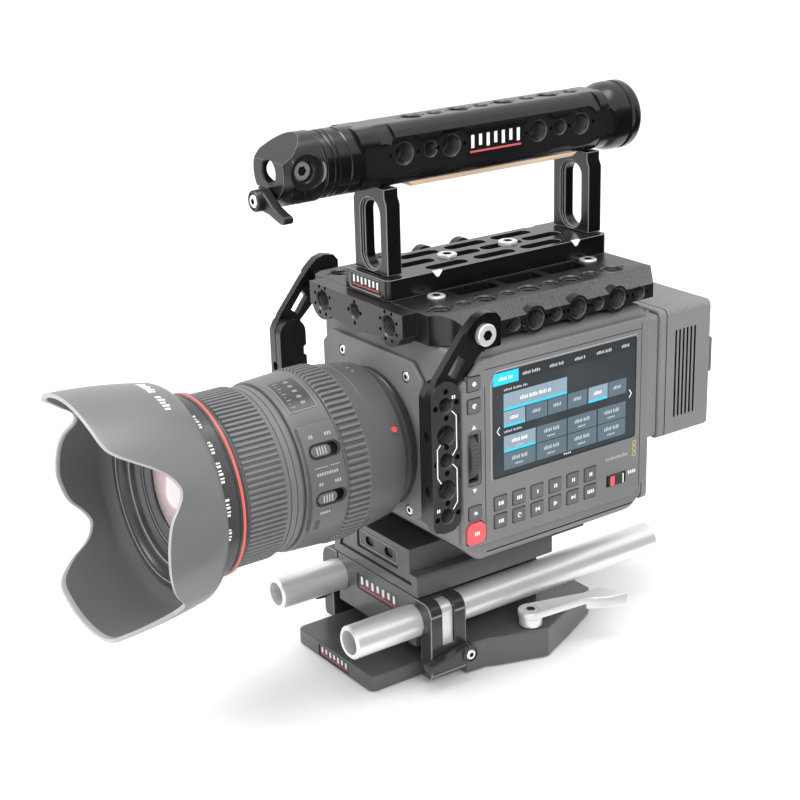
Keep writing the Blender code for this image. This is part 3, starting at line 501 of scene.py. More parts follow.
def taps(name, axis, holes, sign=1):
    """One cutter of threaded holes, each (x, y, z, radius, depth). sign is the side of the mouth on the axis.

    The materials go by face direction: the crests get bright metal as a painted glint, the flanks near black
    as painted shade, and the countersink at the mouth is dull metal.
    """
    bm = bmesh.new()
    sink = 0.6
    for x, y, z, radius, depth in holes:
        pitch = 1.25 if radius > 3.5 else 0.95
        crest = radius - 0.1
        groove = crest + pitch * 0.34
        profile = [(1.0, 0), (1.0, radius + 1.7), (0.0, radius + 0.75), (-sink, radius + 0.15)]
        along = sink
        while along < depth - pitch:
            profile += [(-along - pitch * 0.33, groove), (-along - pitch * 0.78, crest),
                        (-along - pitch, crest)]
            along += pitch
        profile += [(-depth, radius), (-depth - sink, 0)]
        lathe_bm([(sign * place, reach) for place, reach in profile], axis, (x, y, z), 28, bm=bm)
    bmesh.ops.recalc_face_normals(bm, faces=bm.faces)
    # Painted light by face direction: bright crests as a painted glint, dark flanks as painted shade.
    for face in bm.faces:
        lean = face.normal["XYZ".index(axis)] * sign
        face.material_index = 0 if abs(lean) < 0.15 else 2 if -0.93 < lean < -0.665 else 1
    return piece(name, bm, ["thread", "hole", "mount"])


def screw_bm(bm, axis, centre, radius, height, sign):
    """A socket-head screw: a chamfered head, and a hexagon socket in the second material."""
    hexagon, level, sides = radius * 0.5, sign * height, 30
    lip = hexagon + 0.3
    profile = [(0.0, radius), (sign * (height - 0.35), radius), (level, radius - 0.4), (level, lip)]
    lathe_bm(profile, axis, centre, 32, bm=bm)
    place = AXES[axis]
    base, offset = along_across(axis, centre)

    def ring(along, reach, count):
        turns = [2 * math.pi * k / count for k in range(count)]
        return [bm.verts.new(place(base + along, offset[0] + reach * math.cos(turn),
                                   offset[1] + reach * math.sin(turn))) for turn in turns]

    top, bottom, rim = ring(level, hexagon, 6), ring(level * 0.25, hexagon, 6), ring(level, lip, sides)
    for k in range(sides):
        near, far = top[((k + 2) // 5) % 6], top[((k + 3) // 5) % 6]
        corners = [rim[k], rim[(k + 1) % sides], far, near]
        bm.faces.new(corners[:3] if near == far else corners)
    # The socket's walls and floor take the near-black material, painted shade.
    for k in range(6):
        bm.faces.new((top[k], top[(k + 1) % 6], bottom[(k + 1) % 6], bottom[k])).material_index = 1
    bm.faces.new(bottom).material_index = 1


def screws(name, axis, places, sign, mats="steel"):
    """Socket-head screws in one piece, each (x, y, z, radius, height)."""
    bm = bmesh.new()
    for x, y, z, radius, height in places:
        screw_bm(bm, axis, (x, y, z), radius, height, sign)
    bmesh.ops.remove_doubles(bm, verts=bm.verts, dist=0.0005)
    return piece(name, bm, [mats, "hole"])


def slab_bm(bm, axis, level, outline, thick=0.12, index=0):
    """A thin printed mark on a face."""
    return prism_bm(outline, axis, (level - thick, level + thick), bm, index)


def place_marks(name, axis, level, outlines, mats, thick=0.12):
    """Thin printed marks in one piece; outlines are (outline, material index)."""
    bm = bmesh.new()
    for outline, index in outlines:
        slab_bm(bm, axis, level, outline, thick, index)
    return piece(name, bm, mats)


def badge_marks(u, v):
    """A plain generic badge: a row of white ticks over a red line."""
    marks = []
    width, height = u[1] - u[0], v[1] - v[0]
    count = 7
    for index in range(count):
        centre = u[0] + width * (index + 0.5) / count
        low = v[0] + height * (0.42 if index % 2 else 0.34)
        marks.append((rect(mid(centre, width * 0.055), (low, v[1] - height * 0.1)), 0))
    line = rect((u[0] + width * 0.02, u[1] - width * 0.02), (v[0] + height * 0.14, v[0] + height * 0.22))
    marks.append((line, 1))
    return marks


place_camera()
make_studio()


# ---------------------------------------------------------------- handle
HANDLE_Z = 230.0
HANDLE_TOP = 243.5
HANDLE_SIDE = 12.0
TAP_LARGE, TAP_SMALL = 4.2, 2.9
HANDLE_HOLES = (-19.0, 5.5, 53.0, 77.5)
HANDLE_SMALL = (-5.3, 65.4)
TOP_HOLES = (-6.7, 18.2, 42.6, 68.0)
TOP_SMALL = (5.5, 30.5, 56.0, 81.0)


def recess_outline():
    """The recess in the handle's side as (y, z): it widens round each large hole and has round ends."""
    top, bottom = [], []
    for y in HANDLE_HOLES:
        top += [(y - 7.6, 235.7), (y - 6.2, 237.6), (y - 4.6, 238.5), (y + 4.6, 238.5), (y + 6.2, 237.6),
                (y + 7.6, 235.7)]
        bottom += [(y - 7.6, 222.6), (y - 6.2, 221.7), (y - 4.6, 221.3), (y + 4.6, 221.3), (y + 6.2, 221.7),
                   (y + 7.6, 222.6)]
    top = [(-37.4, 236.6), (-28.4, 236.6)] + top + [(88.0, 236.6), (92.6, 236.6)]
    bottom = [(-37.4, 223.2), (-28.4, 223.0)] + bottom + [(88.0, 223.4), (92.6, 223.4)]
    front = [(-38.6, 224.0), (-39.4, 226.4), (-39.6, 230.0), (-39.4, 233.6), (-38.6, 235.8)]
    back = [(94.8, 236.0), (96.4, 234.0), (97.0, 230.0), (96.4, 226.0), (94.8, 224.0)]
    return front + top + back + bottom[::-1]


def make_handle_tube():
    section = rounded((-13.5, 13.5), (217.5, HANDLE_TOP), 8.0, 8)
    tube = prism("handle_body", section, "Y", (-41.0, 93.0))
    axis = (0.0, 0.0, HANDLE_Z)
    front = lathe("front", [
        (-58.0, 0), (-58.0, 13.4), (-57.5, 13.9), (-55.6, 14.0), (-55.2, 13.4), (-54.5, 13.4), (-54.1, 14.0),
        (-52.9, 14.0), (-52.6, 13.5), (-52.1, 13.5), (-51.8, 14.0), (-47.3, 14.0), (-47.0, 13.5),
        (-46.3, 13.5),
        (-45.9, 14.0), (-39.0, 14.0), (-37.0, 13.7), (-34.0, 12.0), (-34.0, 0)], "Y", axis, steps=96)
    rear = lathe("rear", [
        (86.0, 0), (86.0, 12.0), (90.5, 12.6), (93.5, 13.2), (97.0, 14.6), (100.0, 15.4), (103.6, 15.5),
        (104.6, 15.5), (105.0, 15.1), (105.6, 14.9), (105.6, 0)], "Y", axis, steps=96)
    cut(tube, front, rear, operation="UNION")
    saddles = lathe_bm([(-31.5, 14.75), (-31.5, 17.0), (-24.0, 17.0), (-24.0, 14.75)], "Y", axis, 64,
                       closed=True)
    lathe_bm([(80.5, 14.75), (80.5, 17.0), (88.0, 17.0), (88.0, 14.75)], "Y", axis, 64, closed=True,
             bm=saddles)
    cut(tube, piece("saddles", saddles, "black"))
    for side in (-1, 1):
        cut(tube, prism("recess", recess_outline(), "X", side_span(side, HANDLE_SIDE, 17.0), "black_face"))
    cut(tube, block("seat", (-8.7, 8.7), (-17.3, 80.3), (200.0, 221.8), "black"))
    # Painted highlight: the bevel faces take the light edge material.
    bevel(tube, 0.34, 2, 28, "edge")
    z = HANDLE_Z + 1.2
    for side in (-1, 1):
        x = side * HANDLE_SIDE
        cut(tube, taps("threads", "X", [(x, y, z, TAP_LARGE, 9.0) for y in HANDLE_HOLES]
                       + [(x, y, z, TAP_SMALL, 8.0) for y in HANDLE_SMALL], side))
        pins = [(x, y + s * 7.0, z, 0.9, 1.4) for y in HANDLE_HOLES for s in (-1, 1)]
        cut(tube, drills("pins", "X", pins, steps=12))
    cut(tube, taps("top_threads", "Z", [(0.0, y, HANDLE_TOP, TAP_LARGE, 6.0) for y in TOP_HOLES]
                   + [(0.0, y, HANDLE_TOP, TAP_SMALL, 6.0) for y in TOP_SMALL]))
    pins = [(0.0, y + s * 6.4, HANDLE_TOP, 0.8, 1.2) for y in TOP_HOLES for s in (-1, 1)]
    cut(tube, drills("top_pins", "Z", pins, steps=12))
    done(tube, "rig", "black_anodised", "handle_tube")
    for side, word in ((-1, "left"), (1, "right")):
        marks = badge_marks((14.5, 43.5), (225.2, 235.2))
        flat = place_marks("badge_back_" + word, "X", side * (HANDLE_SIDE + 0.02),
                           [(rect((13.8, 45.0), (224.1, 235.2)), 0)],
                           "hole", 0.1)
        ink = place_marks("handle_badge_" + word, "X", side * (HANDLE_SIDE + 0.15), marks,
                          ["white", "red_ink"])
        done(merge(ink, flat), "rig", "black_anodised")


def make_grip():
    section = [(-5.6, 215.4), (5.6, 215.4), (7.6, 216.1), (8.4, 217.5), (8.4, 221.3), (-8.4, 221.3),
               (-8.4, 217.5),
               (-7.6, 216.1)]
    grip = prism("wood_strip", section, "Y", (-17.0, 80.0), "wood")
    for y0, y1 in ((-17.5, -11.5), (80.5, 76.0)):
        outline = [(y0, 214.0), (y1, 214.0), (y1, 215.55), ((y0 * 2 + y1) / 3, 218.6), (y0, 220.4)]
        cut(grip, prism("taper", outline, "X", (-20, 20), "wood"))
    bevel(grip, 0.5, 3)
    done(grip, "rig", "wood", "wood_grip")


def make_head():
    y, z = -67.5, HANDLE_Z + 0.5
    head = lathe("head", [(-77.4, 0), (-77.4, 11.6), (-76.9, 12.2), (-74.2, 14.2), (-73.4, 14.5),
                          (-59.0, 14.5),
                          (-58.4, 14.0), (-58.3, 13.0), (-58.3, 0)], "Y", (0, 0, HANDLE_Z), steps=96)
    slope = [(-79.0, 233.2), (-63.0, 246.0), (-62.0, 249.0), (-79.0, 249.0)]
    cut(head, prism("slope", slope, "X", (-20, 20), "black_face"))
    # Painted highlight: the bevel faces take the light edge material.
    bevel(head, 0.35, 2, 28, "edge")
    wide = lathe("wide", [(20.0, 0), (20.0, 9.0), (14.2, 8.2), (12.9, 7.2), (11.8, 7.0), (11.6, 4.9),
                          (11.0, 4.4),
                          (2.0, 4.4), (2.0, 0)], "X", (0, y, z), "black_face", steps=64)
    far = lathe("far", [(2.4, 0), (2.4, 7.6), (-11.6, 7.6), (-13.0, 8.6), (-20.0, 9.6), (-20.0, 0)], "X",
                (0, y, z), "black_face", steps=64)
    bore = lathe("bore", [(-80.0, 0), (-80.0, 8.0), (-77.2, 5.3), (-76.8, 5.0), (-66.5, 5.0), (-66.5, 0)],
                 "Y",
                 (0, 0, HANDLE_Z), "black_face", steps=64)
    # The bore's chamfer ring takes the light edge material, a painted highlight.
    rim = lathe("rim", [(20.0, 0), (20.0, 9.6), (14.0, 8.4), (11.0, 0)], "X", (0, y, z), "edge", steps=64)
    cut(head, rim, wide, far, bore)
    cut(head, block("slit", (-20, 20), (-68.3, -66.7), (210.0, 223.0), "hole"))
    cut(head, block("split", (-20, 0), (-78.5, -62.0), (222.4, 223.3), "hole"))
    done(head, "rig", "black_anodised", "clamp_head")
    done(screws("head_screw", "X", [(7.6, y, z, 4.1, 1.9)], 1, "thread"), "rig", "silver")


def make_clamp_lever():
    z = 219.3
    arm = [(-4.2, 219.6), (-3.4, 222.4), (0.0, 223.7), (3.6, 222.6), (6.2, 220.8), (10.5, 218.0),
           (15.5, 216.2),
           (18.6, 215.4), (19.0, 214.0), (18.6, 212.6), (16.0, 212.0), (11.5, 213.2), (7.0, 214.6),
           (1.5, 215.1),
           (-2.6, 216.0)]
    lever = prism("thumb_lever", arm, "Y", (-82.6, -78.0), "black_face")
    bevel(lever, 0.7, 3)
    rings = [(-85.2, 0), (-85.2, 3.9), (-84.8, 4.4), (-83.0, 4.5)]
    for index in range(4):
        along = -82.6 + index * 1.1
        rings += [(along, 4.5), (along + 0.15, 4.0), (along + 0.55, 4.0), (along + 0.7, 4.5)]
    rings += [(-78.2, 4.5), (-77.8, 4.2), (-77.8, 0)]
    hub = lathe("hub", rings, "Y", (0, 0, z), "black_face", steps=48)
    cut(lever, hub, operation="UNION")
    cup = lathe("cup", [(-86.0, 0), (-86.0, 3.7), (-84.6, 3.3), (-84.6, 0)], "Y", (0, 0, z), "black_face",
                steps=40)
    cut(lever, cup)
    bolt = screws("bolt", "Y", [(0, -84.5, z, 2.7, 0.9)], -1)
    done(merge(lever, bolt), "clamp_lever", "black_anodised", "clamp_lever")


def make_end_cap():
    cap = lathe("handle_end", [(106.1, 0), (106.1, 14.6), (106.5, 15.1), (107.0, 15.5), (109.8, 15.5),
                               (111.0, 14.9), (111.5, 14.2), (111.5, 9.0), (111.2, 8.7), (111.2, 0)], "Y",
                (0, 0, HANDLE_Z), "black", steps=96)
    cut(cap, drills("pins", "Y", [(5.8 * math.cos(a), 111.5, HANDLE_Z + 5.8 * math.sin(a), 1.2, 1.6)
                                  for a in (0.5, 3.64)], steps=16))
    done(cap, "rig", "black_anodised", "end_cap")


def make_post(name, node, y):
    low, high = 180.2, 217.2
    outline = [(-12.1, low), (12.1, low), (12.1, 210.6), (10.7, 213.4), (10.7, high), (-10.7, high),
               (-10.7, 213.4), (-12.1, 210.6)]
    post = prism(name, outline, "Y", y)
    cut(post, prism("slot", rounded((-5.5, 5.5), (181.6, 211.0), 5.4, 10), "Y", (y[0] - 3, y[1] + 3),
                    "black"))
    for a, b in ((y[0] - 1, y[0] + 1.3), (y[1] - 1.3, y[1] + 1)):
        cut(post, prism("lip", rounded((-7.4, 7.4), (180.9, 212.4), 7.2, 10), "Y", (a, b), "black"))
    # Painted highlight: the bevel faces take the light edge material.
    bevel(post, 0.4, 2, 30, "edge")
    done(post, "rig", "black_anodised", node)


def make_riser():
    riser = prism("slotted_riser", rounded((-16.8, 16.8), (-32.8, 90.0), 3.0, 6), "Z", (170.8, 179.9))
    bm = bmesh.new()
    for x in (-10.6, 10.6):
        for y in ((-8.0, 13.5), (18.0, 40.0), (44.3, 66.3)):
            prism_bm(rounded(mid(x, 6.6), y, 3.25, 6), "Z", (165.0, 185.0), bm)
    for y in ((-17.0, 3.5), (7.5, 28.5), (30.0, 52.5), (54.0, 75.0)):
        prism_bm(rounded(mid(0.0, 6.6), y, 3.25, 6), "Z", (165.0, 185.0), bm)
    cut(riser, piece("slots", bm, "black_face"))
    cut(riser, prism("badge_seat", rounded((-11.6, 11.6), (172.0, 178.6), 1.2, 4), "Y", (-34.0, -32.3),
                     "hole"))
    # Painted highlight: the bevel faces take the light edge material.
    bevel(riser, 0.35, 2, 30, "edge")
    wedges = bmesh.new()
    for side in (-1, 1):
        for y in (-6.6, 71.0):
            x = side * 16.8
            points = [(x - side * 1.6, y - 2.4, 180.4), (x - side * 1.6, y + 2.4, 180.4),
                      (x + side, y - 3.4, 180.4),
                      (x + side, y + 3.4, 180.4), (x + side * 0.5, y, 176.3)]
            corners = [wedges.verts.new(point) for point in points]
            for face in ((0, 1, 3, 2), (0, 1, 4), (1, 3, 4), (3, 2, 4), (2, 0, 4)):
                wedges.faces.new([corners[i] for i in face])
    cut(riser, piece("wedges", wedges, "white"))
    done(riser, "rig", "black_anodised", "riser")
    ink = place_marks("riser_badge", "Y", -32.45, badge_marks((-10.2, 10.2), (172.6, 178.2)),
                      ["white", "red_ink"])
    done(ink, "rig", "black_anodised")
    heads = screws("riser_screws", "Z", [(0.0, 11.0, 179.2, 4.4, 1.9), (0.0, 45.2, 179.2, 4.4, 1.9)], 1)
    done(heads, "rig", "silver")


def make_handle():
    make_handle_tube()
    make_grip()
    make_head()
    make_clamp_lever()
    make_end_cap()
    make_post("handle_front_post", "front_post", (-29.2, -21.9))
    make_post("handle_rear_post", "rear_post", (82.3, 89.9))
    make_riser()


# ---------------------------------------------------------------- cage
SIDE_BIG = (14.0, 37.4, 59.8)
SIDE_SMALL = (2.8, 25.4, 48.9, 72.7)
PLATE_BIG = (-21.0, 2.5, 26.5, 50.0, 74.0)
PLATE_SMALL = (-8.5, 15.4, 38.8, 62.2)
PLATE_TOP = 170.5
FLANGE_FACE = -38.7
FLANGE_HOLES = (-25.0, 25.0)
CAGE_SCREWS = [(side * x, y) for side in (-1, 1) for x, y in ((22.0, -11.5), (19.9, 75.5))]


def paint_faces(obj, mat, test):
    """Gives some faces another material. test takes a face's centre in millimetres and its normal."""
    obj.data.materials.append(MAT[mat])
    index = len(obj.data.materials) - 1
    for polygon in obj.data.polygons:
        if test(polygon.center / MM, polygon.normal):
            polygon.material_index = index


def make_top_plate():
    section = [(-57.0, 160.5), (-57.0, 166.8), (-45.0, PLATE_TOP), (45.0, PLATE_TOP), (57.0, 166.8),
               (57.0, 160.5),
               (50.0, 157.6), (-50.0, 157.6)]
    plate = prism("cage_top", section, "Y", (-31.0, 90.5), "black_face")
    lobes = [(-35.0, 170.4), (-35.0, 160.6)]
    for x, start, end in ((-25.5, 205, 318), (0.0, 235, 305), (25.5, 222, 335)):
        lobes += arc((x, 163.4), 8.6, start, end, 10)
    lobes += [(35.0, 160.6), (35.0, 170.4)]
    cut(plate, prism("flange", lobes, "Y", (FLANGE_FACE, -30.5), "black_face"), operation="UNION")
    for side in (-1, 1):
        for y in SIDE_BIG:
            lobe = rod("lobe", "X", (side * 54.9, y, 163.6), 5.9, 4.2, "black_face", 48)
            cut(plate, lobe, operation="UNION")
    bm = bmesh.new()
    for side in (-1, 1):
        for y in ((-2.5, 19.5), (23.5, 44.0), (48.0, 69.0)):
            prism_bm(rounded(side_span(side, 17.2, 27.0), y, 1.2, 4), "Z", (150.0, 175.0), bm)
    cut(plate, piece("windows", bm, "hole"))
    for side in (-1, 1):
        corner = [(side * 43.5, 91.5), (side * 58.5, 79.5), (side * 60.0, 91.5)]
        cut(plate, prism("corner", corner, "Z", (150.0, 180.0), "black_face"))
        scoop = arc((side * 54.5, -35.5), 13.0, 0, 360, 48)[:-1]
        cut(plate, prism("scoop", scoop, "Z", (150.0, 180.0), "black"))
    # Painted highlight: the bevel faces take the light edge material.
    bevel(plate, 0.34, 2, 25, "edge")
    # Painted light: the up-facing chamfers take the lighter blasted material.
    paint_faces(plate, "blasted_and_lit", lambda c, n: 0.2 < abs(n.x) < 0.5 and n.z > 0.8 and c.z > 166.0)
    holes = [(x, FLANGE_FACE, 163.6, TAP_LARGE, 7.0) for x in FLANGE_HOLES] + [(0.0, FLANGE_FACE, 164.4, 3.0,
                                                                                6.0)]
    cut(plate, taps("front_threads", "Y", holes, -1))
    pins = []
    for x in FLANGE_HOLES:
        for step in range(8):
            turn = math.radians(22.5 + 45.0 * step)
            pins.append((x + 6.3 * math.cos(turn), FLANGE_FACE, 163.6 + 6.3 * math.sin(turn), 0.85, 1.6))
    for dx, dz in ((-4.6, 0.0), (4.6, 0.0), (0.0, 4.2), (0.0, -5.2)):
        pins.append((dx, FLANGE_FACE, 164.4 + dz, 0.9, 1.6))
    cut(plate, drills("front_pins", "Y", pins, steps=14))
    tops = []
    for side in (-1, 1):
        tops += [(side * 37.5, y, PLATE_TOP, TAP_LARGE, 8.0) for y in PLATE_BIG]
        tops += [(side * 36.9, y, PLATE_TOP, TAP_SMALL, 7.0) for y in PLATE_SMALL]
    cut(plate, taps("top_threads", "Z", tops))
    pins = []
    for side in (-1, 1):
        for y in PLATE_BIG:
            pins += [(side * x, y + dy, PLATE_TOP, 0.8, 1.2) for x,
                     dy in ((37.5, -6.0), (37.5, 6.0), (31.4, 0.0))]
    cut(plate, drills("top_pins", "Z", pins, steps=12))
    for side in (-1, 1):
        x = side * 57.0
        holes = [(x, y, 163.8, 3.9, 7.0) for y in SIDE_BIG] + [(x, y, 163.8, 2.5, 6.0) for y in SIDE_SMALL]
        cut(plate, taps("side_threads", "X", holes, side))
        pins = [(x, y + s * 5.6, 163.8, 0.95, 1.6) for y in SIDE_BIG for s in (-1, 1)]
        pins += [(x, y + s * 3.9, 163.8, 0.85, 1.6) for y in SIDE_SMALL for s in (-1, 1)]
        cut(plate, drills("side_pins", "X", pins, steps=14))
    cut(plate, drills("seats", "Z", [(x, y, PLATE_TOP, 4.3, 1.2) for x, y in CAGE_SCREWS], "black_face", 32))
    done(plate, "rig", "black_anodised", "top_plate")
    done(screws("cage_screws", "Z", [(x, y, 169.4, 4.0, 1.9) for x, y in CAGE_SCREWS], 1), "rig", "silver")


BRACKET_BOLT = (-16.4, 164.3)
BRACKET_COLUMN = -37.2
BRACKET_HOLES = ((138.7, 2.9), (125.7, 4.1), (114.7, 2.9), (101.8, 4.1), (90.1, 2.9))


def strip(points, width):
    """A ribbon outline along a line of (u, v) points."""
    left, right = [], []
    for index, point in enumerate(points):
        before, after = points[max(0, index - 1)], points[min(len(points) - 1, index + 1)]
        du, dv = after[0] - before[0], after[1] - before[1]
        size = math.hypot(du, dv) or 1.0
        left.append((point[0] - dv / size * width / 2, point[1] + du / size * width / 2))
        right.append((point[0] + dv / size * width / 2, point[1] - du / size * width / 2))
    return left + right[::-1]


def make_bracket(word, side):
    outline = [(-38.5, 82.5), (-33.7, 83.0), (-30.4, 86.0), (-30.4, 145.5), (-17.0, 158.0), (-8.7, 158.4),
               (-8.7, 170.0), (-11.0, 172.8), (-16.0, 173.7), (-20.4, 172.5), (-23.5, 170.0), (-28.1, 165.5),
               (-40.9, 150.0), (-44.6, 142.9), (-44.6, 86.5), (-43.5, 84.0)]
    inner, outer = 57.6, 62.0
    bracket = prism("cage_bracket_" + word, outline, "X", side_span(side, inner, outer), "black")
    foot = arc((-37.5, 141.0), 6.9, 0, 180, 14) + [(-44.4, 86.8), (-38.5, 82.7), (-33.7, 83.2), (-30.6, 86.2)]
    cut(bracket, prism("foot", foot, "X", side_span(side, 53.3, 61.6), "black"), operation="UNION")
    slot = [(-31.8, 148.3), (-26.2, 155.5), (-29.0, 159.0), (-35.2, 151.2)]
    cut(bracket, prism("slot", slot, "X", side_span(side, 50.0, 70.0), "hole"))
    cut(bracket, rod("seat", "X", (side * outer, *BRACKET_BOLT), 6.0, 2.6, "black_face", 48))
    bites = bmesh.new()
    for z in (132.2, 120.3, 108.2, 96.0):
        prism_bm([(-29.5, z - 3.4), (-29.5, z + 3.4), (-32.0, z + 1.6), (-32.0, z - 1.6)], "X",
                 side_span(side, 50.0, 70.0), bites)
    cut(bracket, piece("bites", bites, "black"))
    recess = [(-60.0, 141.2)] + arc((-37.5, 141.2), 7.5, 180, 0, 16)
    recess += [(-29.6, 141.2), (-15.5, 155.0), (-28.0, 168.5), (-60.0, 168.5)]
    cut(bracket, prism("recess", recess, "X", side_span(side, outer - 1.0, outer + 2), "black_face"))
    # Painted highlight: the bevel faces take the light edge material.
    bevel(bracket, 0.7, 2, 28, "edge")
    # Painted light: the outward flat faces below the recess get a lighter black than the rest of the bracket.
    paint_faces(bracket, "face", lambda c, n: side * n.x > 0.97 and c.z < 149.0)
    # Painted light: the upper chamfers facing outward and forward take the lighter blasted material.
    paint_faces(bracket, "blasted_and_lit", lambda c, n: 0.25 < side * n.x < 0.95 and c.z > 147.0 and n.y < -0.15)
    x = side * outer
    cut(bracket, taps("threads", "X", [(x, BRACKET_COLUMN, z, r, 7.6) for z, r in BRACKET_HOLES], side))
    pins = [(x, BRACKET_COLUMN + dy, z + dz, 1.25, 2.0) for z, r in BRACKET_HOLES if r < 3.5
            for dy, dz in ((-5.3, -0.5), (5.3, 0.5), (0.0, -5.4), (0.0, 5.9)) if z + dz > 85.4]
    cut(bracket, drills("pins", "X", pins, steps=16))
    ovals = bmesh.new()
    for z in (125.7, 101.8):
        prism_bm(rounded(mid(side * 58.4, 3.4), mid(z, 4.4), 1.6, 5), "Y", (-46.0, -43.2), ovals)
    cut(bracket, piece("ovals", ovals, "hole"))
    done(bracket, "rig", "black_anodised", "bracket_" + word)
    marks = []
    for line in ([(-34.4, 135.8), (-32.2, 133.4), (-32.2, 119.2), (-34.4, 116.4)],
                 [(-34.4, 112.6), (-32.2, 110.2), (-32.2, 95.6), (-34.4, 92.6)],
                 [(-40.3, 122.4), (-42.0, 120.6), (-42.1, 108.2), (-40.3, 105.4)]):
        marks.append((strip(line, 0.42), 0))
    for y, z in ((-34.2, 141.6), (-42.8, 93.6)):
        for step in range(2):
            marks.append((rect((y + step * 1.0, y + 0.6 + step * 1.0), (z - 0.7, z + 0.7)), 0))
    done(place_marks("bracket_marks_" + word, "X", side * outer, marks, ["white"], 0.1), "rig",
         "black_anodised")
    heads = screws("bracket_bolt_" + word, "X", [(side * (outer - 1.2), *BRACKET_BOLT, 4.7, 2.4)], side)
    done(heads, "rig", "silver")


def make_cage():
    make_top_plate()
    make_bracket("left", -1)
    make_bracket("right", 1)


# ---------------------------------------------------------------- camera body
CASE = ((-41.5, 56.2), (-27.5, 77.5), (60.3, 157.0))
PANEL_FACE = 59.2
SCREEN_Y, SCREEN_Z = (-11.2, 69.6), (98.3, 145.6)
KEY_Y = [-7.4 + 10.1 * column for column in range(6)]
KEY_Z = (87.2, 79.0)
COLUMN_Y = -21.0
COLUMN_KEYS = (("menu_button", 143.6, ("dot",)), ("assist_button", 134.0, ("ring", "1")),
               ("photo_button", 86.2, ("ring", "dot")))
WHEEL_Z = 110.5
RECORD = (-20.8, 77.0)


def make_case():
    (x0, x1), (y0, y1), (z0, z1) = CASE
    wall = 3.0
    case = prism("camera_shell", rounded((x0, x1), (z0, z1), 5.0, 6), "Y", (y0, y1), "body")
    bm = bmesh.new()
    chamfer = [(y0 - 1.0, z0 - 1.0), (y0 + 13.5, z0 - 1.0), (y0 - 1.0, z0 + 11.5)]
    prism_bm(chamfer, "X", (x0 - 1.0, x1 + 1.0), bm)
    prism_bm([(y1 + 1.0, z0 - 1.0), (y1 + 1.0, z0 + 9.0), (y1 - 9.0, z0 - 1.0)], "X", (x0 - 1.0, x1 + 1.0),
             bm)
    cut(case, piece("chin", bm, "body"))
    bevel(case, 1.6, 4, 28)
    cut(case, block("inside", *((low + wall, high - wall) for low, high in CASE), "hole"))
    cut(case, block("opening", (x1 - 6.0, 80.0), (y0 + wall, y1 - wall), (72.0, 151.0), "hole"))
    cut(case, rod("mount_bore", "Y", (0, y0, LENS_Z), 24.5, 14.0, "hole", 64))
    grooves = bmesh.new()
    for side in (-1, 1):
        x = side * 0.5 * (x1 - x0) + (x0 + x1) / 2
        prism_bm(rect(tuple(sorted((x - side * 0.5, x + side))), (y0 + 15.0, y1 - 6.0)), "Z", (64.4, 65.0),
                 grooves)
    for index in range(9):
        y = 6.0 + index * 3.0
        prism_bm(rounded((x0 - 1.0, x0 + 0.9), (y, y + 1.4), 0.3, 2), "Z", (84.0, 118.0), grooves)
    # The grooves take the near-black material, painted shade in them.
    cut(case, piece("grooves", grooves, "hole"))
    done(case, "rig", "camera_body", "camera_case")


def make_chin():
    """The shallow steps across the slope under the front plate."""
    bm = bmesh.new()
    for z, tall in ((64.2, 0.9), (67.6, 0.8), (70.4, 0.7)):
        y = -14.0 - (z - 60.3) / 11.5 * 13.5
        prism_bm([(y - 0.7, z), (y - 0.1, z + tall), (y + 1.4, z + tall), (y + 1.4, z)], "X", (-30.0, 26.0),
                 bm)
    lips = piece("front_lips", bm, "body")
    bevel(lips, 0.2, 2)
    done(lips, "rig", "camera_body")


def panel_openings():
    """Cutters for what stands in the side panel."""
    bm = bmesh.new()
    span = (50.0, 65.0)
    prism_bm(rounded(SCREEN_Y, SCREEN_Z, 1.4, 4), "X", span, bm)
    for y in KEY_Y:
        for z in KEY_Z:
            prism_bm(rounded(mid(y, 7.3), mid(z, 6.8), 0.7, 3), "X", span, bm)
    for name, z, kinds in COLUMN_KEYS:
        prism_bm(rounded(mid(COLUMN_Y, 7.3), mid(z, 6.8), 0.9, 3), "X", span, bm)
    prism_bm(rounded(mid(58.6, 11.6), mid(80.6, 5.6), 0.5, 3), "X", span, bm)
    prism_bm(rounded(mid(COLUMN_Y, 5.2), mid(WHEEL_Z, 21.4), 0.7, 3), "X", span, bm)
    prism_bm(record_outline(5.15), "X", span, bm)
    return piece("openings", bm, "body_dark")


def record_outline(half):
    """The record button's outline, with wide cut corners."""
    corner = half * 0.42
    points = [(-half, -half + 0.9), (-half + 0.9, -half), (half - corner, -half), (half, -half + corner),
              (half, half - corner), (half - corner, half), (-half + corner, half), (-half, half - corner)]
    return [(RECORD[0] + u, RECORD[1] + v) for u, v in points]


